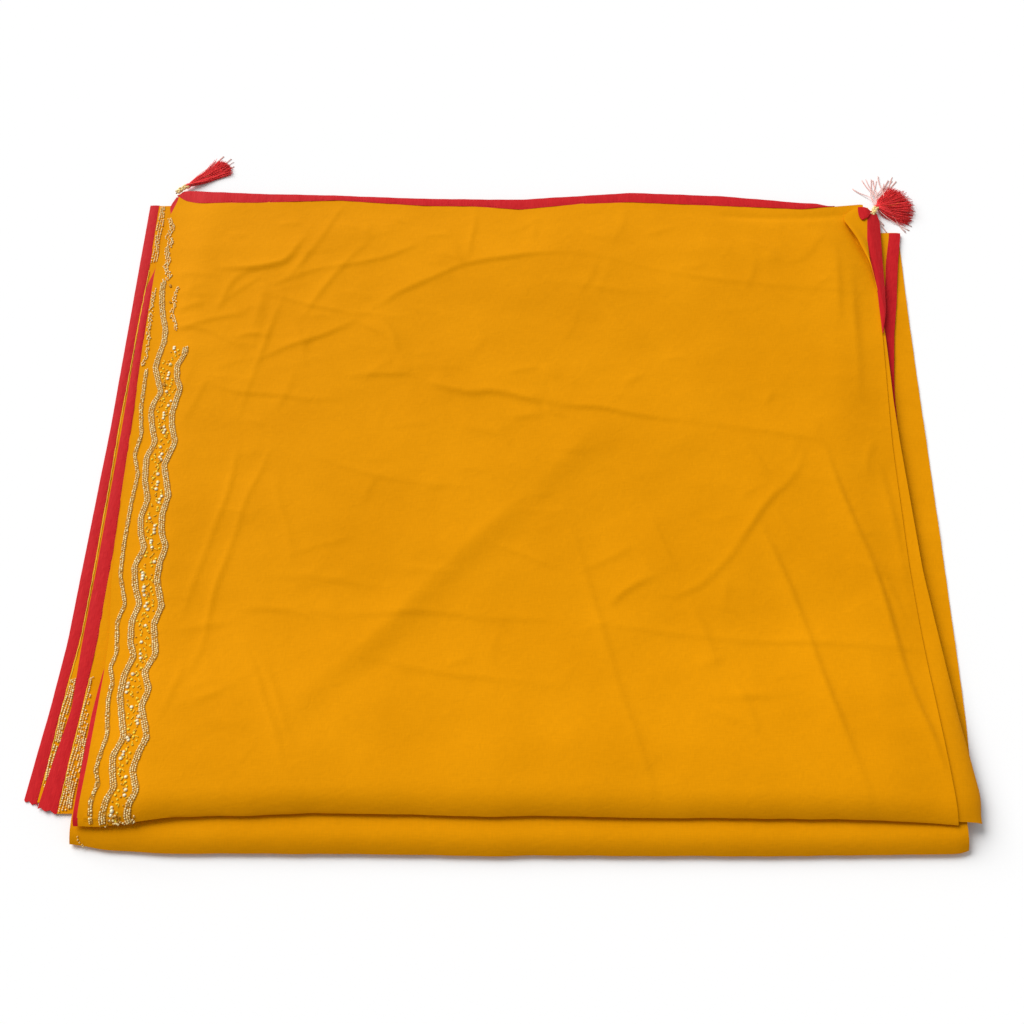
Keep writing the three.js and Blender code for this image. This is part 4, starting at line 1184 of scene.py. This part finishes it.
def strayCourse(shape, tip, bow):
    # one loose thread from the head to its tip, bowed to one side and hooked at its end
    part = np.linspace(0, 1, 11)
    startX, startY, startZ = shape["at"]
    alongX = tip[0] - startX
    alongY = tip[1] - startY
    length = math.hypot(alongX, alongY)
    sideways = bow * (np.sin(np.pi * part) + 0.35 * np.sin(2 * np.pi * part))
    x = startX + part * alongX - alongY / length * sideways + rng.normal(0, 0.7) * part
    y = startY + part * alongY + alongX / length * sideways + rng.normal(0, 0.7) * part
    z = mix(startZ, 0.7 + abs(bow) * 0.2, smooth(part, 0, 0.8)) + 1.6 * np.sin(part * 5) * part
    return np.stack([x, y, np.maximum(z, 0.6)], axis=-1)


def strandCourse(shape, turn, share, length, level):
    # one thread, out of the head and down to just above what it lies on
    part = np.linspace(0, 1, 9)
    out = 1 + part * length
    angle = math.radians(turn) + rng.normal(0, 0.055) * part ** 2
    opened = np.sin(np.minimum(part / 0.5, 1) * math.pi / 2)
    sideways = (share * shape["bulge"] + rng.normal(0, 0.8)) * opened
    x = shape["at"][0] + out * np.cos(angle) - math.sin(math.radians(turn)) * sideways
    y = shape["at"][1] + out * np.sin(angle) + math.cos(math.radians(turn)) * sideways
    tip = 0.6 + shape["tipRise"] * level * level * (1 - 0.5 * share * share)
    z = mix(shape["at"][2] + (level - 0.5) * 6, tip, smooth(part, 0, 0.7))
    z = z + 0.8 * np.sin(part * 4 + share * 9) * part
    return np.stack([x, y, np.maximum(z, 0.5)], axis=-1)


def tasselHead(shape):
    # the wrapped head between the cord and the threads
    bpy.ops.object.select_all(action="DESELECT")
    bpy.ops.mesh.primitive_uv_sphere_add(segments=20, ring_count=12, radius=tasselParts["head"])
    head = bpy.context.object
    head.name = shape["name"] + "Head"
    turn = math.radians(shape["heading"])
    forward = Vector((math.cos(turn), math.sin(turn), 0))
    sideways = Vector((-forward.y, forward.x, 0))
    centre = Vector(place(*shape["at"]))
    for vertex in head.data.vertices:
        local = vertex.co.copy()
        wrap = 1 + 0.06 * math.sin(local.x * 4000)
        vertex.co = centre + forward * local.x * 1.3 + (sideways * local.y + Vector((0, 0, local.z))) * wrap
    shadeSoft(head, 80)
    return head


for shape in tassels:
    courses = []
    for _ in range(shape["count"]):
        share = rng.random() * 2 - 1
        length = mix(*shape["lengths"], rng.random() ** 0.6) * (1 - 0.08 * share * share)
        courses.append(strandCourse(shape, shape["heading"] + share * shape["spread"], share, length,
                                    rng.random()))
    finishPiece(threads(shape["name"], courses, tasselParts["thread"]), tasselYarn, "tassel_thread",
                shape["node"])
    finishPiece(tasselHead(shape), tasselYarn, "tassel_thread")
    strays = [strayCourse(shape, tip, bow) for tip, bow in shape["strays"] for _ in range(3)]
    finishPiece(threads(shape["name"] + "Strays", strays, tasselParts["fray"]), strayYarn, "tassel_thread")
    golden = [strandCourse(shape, shape["heading"] - 6 + 5 * index, -0.3, 26 + 6 * index, 0.93)
              for index in range(3)]
    finishPiece(threads(shape["name"] + "Gold", golden, tasselParts["gold"], 4), goldThread, "gold_bead")
    cordHeading = math.radians(shape["cordTurn"])
    part = np.linspace(0, 1, 12)
    reach = 2 + part * shape["cord"]
    cordX = shape["at"][0] + reach * math.cos(cordHeading)
    cordY = shape["at"][1] + reach * math.sin(cordHeading)
    cordZ = shape["at"][2] + 0.4 * np.sin(part * 3)
    cordCourse = np.stack([cordX, cordY, cordZ], axis=-1)
    cord = threads(shape["name"] + "Cord", [cordCourse], tasselParts["cord"], 8)
    finishPiece(cord, zariThreadAndGapShade, "gold_bead", shape["collar"])
    around = np.arange(tasselParts["beads"]) * 2.4
    share = np.linspace(0.0, 0.85, tasselParts["beads"])
    out = tasselParts["beadsOut"] * np.cos(around)
    spots = np.stack([np.interp(share, part, cordX) - math.sin(cordHeading) * out,
                      np.interp(share, part, cordY) + math.cos(cordHeading) * out,
                      np.interp(share, part, cordZ) + 1.6 + 0.9 * np.sin(around)], axis=-1)
    sewnFlat(shape["name"] + "Beads", spots, around * 0.3 + cordHeading, bead, tasselParts["bead"],
             glassBead)
bpy.data.objects.remove(bead)
bpy.data.objects.remove(sequin)
print("tassels made")

# White paper on the floor, an even light from all round and one broad light from behind on the left.
studio = {"floor": 12, "world": 0.36, "sunAngle": 50, "sun": 3.62, "sunHeading": (0.62, -0.62, -0.68),
          "lens": 50, "sensor": 36, "eye": (0, -545, 1700), "tilt": 31.45}


def floorAndLight():
    bpy.ops.object.select_all(action="DESELECT")
    bpy.ops.mesh.primitive_plane_add(size=studio["floor"], location=(0, 0, 0))
    floor = bpy.context.object
    floor.name = "floor"
    material, tree = newMaterial("paperSeamlessWhite")
    coords = addNode(tree, "ShaderNodeTexCoord").outputs["Object"]
    grain = addNode(tree, "ShaderNodeTexNoise", {"Scale": 400.0}, {"Vector": coords})
    tone = addNode(tree, "ShaderNodeMapRange", {"To Min": 0.93, "To Max": 0.95},
                   {"Value": grain.outputs["Fac"]})
    shader = addNode(tree, "ShaderNodeBsdfDiffuse", None, {"Color": tone.outputs[0]})
    finishMaterial(tree, shader)
    floor.data.materials.append(material)
    world = bpy.data.worlds.new("studio")
    world.use_nodes = True
    background = world.node_tree.nodes["Background"]
    background.inputs["Color"].default_value = (1, 1, 1, 1)
    background.inputs["Strength"].default_value = studio["world"]
    bpy.context.scene.world = world
    # a broad light from the back left, which draws the creases out
    sun = bpy.data.lights.new("softboxBackLeft", "SUN")
    sun.angle = math.radians(studio["sunAngle"])
    sun.energy = studio["sun"]
    lamp = bpy.data.objects.new("softboxBackLeft", sun)
    lamp.rotation_euler = Vector(studio["sunHeading"]).to_track_quat("-Z", "Y").to_euler()
    bpy.context.collection.objects.link(lamp)


def camera():
    data = bpy.data.cameras.new("camera")
    data.lens = studio["lens"]
    data.sensor_width = studio["sensor"]
    eye = bpy.data.objects.new("camera", data)
    eye.location = Vector(place(*studio["eye"]))
    eye.rotation_euler = (math.radians(studio["tilt"]), 0, 0)
    bpy.context.collection.objects.link(eye)
    bpy.context.scene.camera = eye


floorAndLight()
camera()
bpy.context.scene.view_settings.view_transform = "Standard"
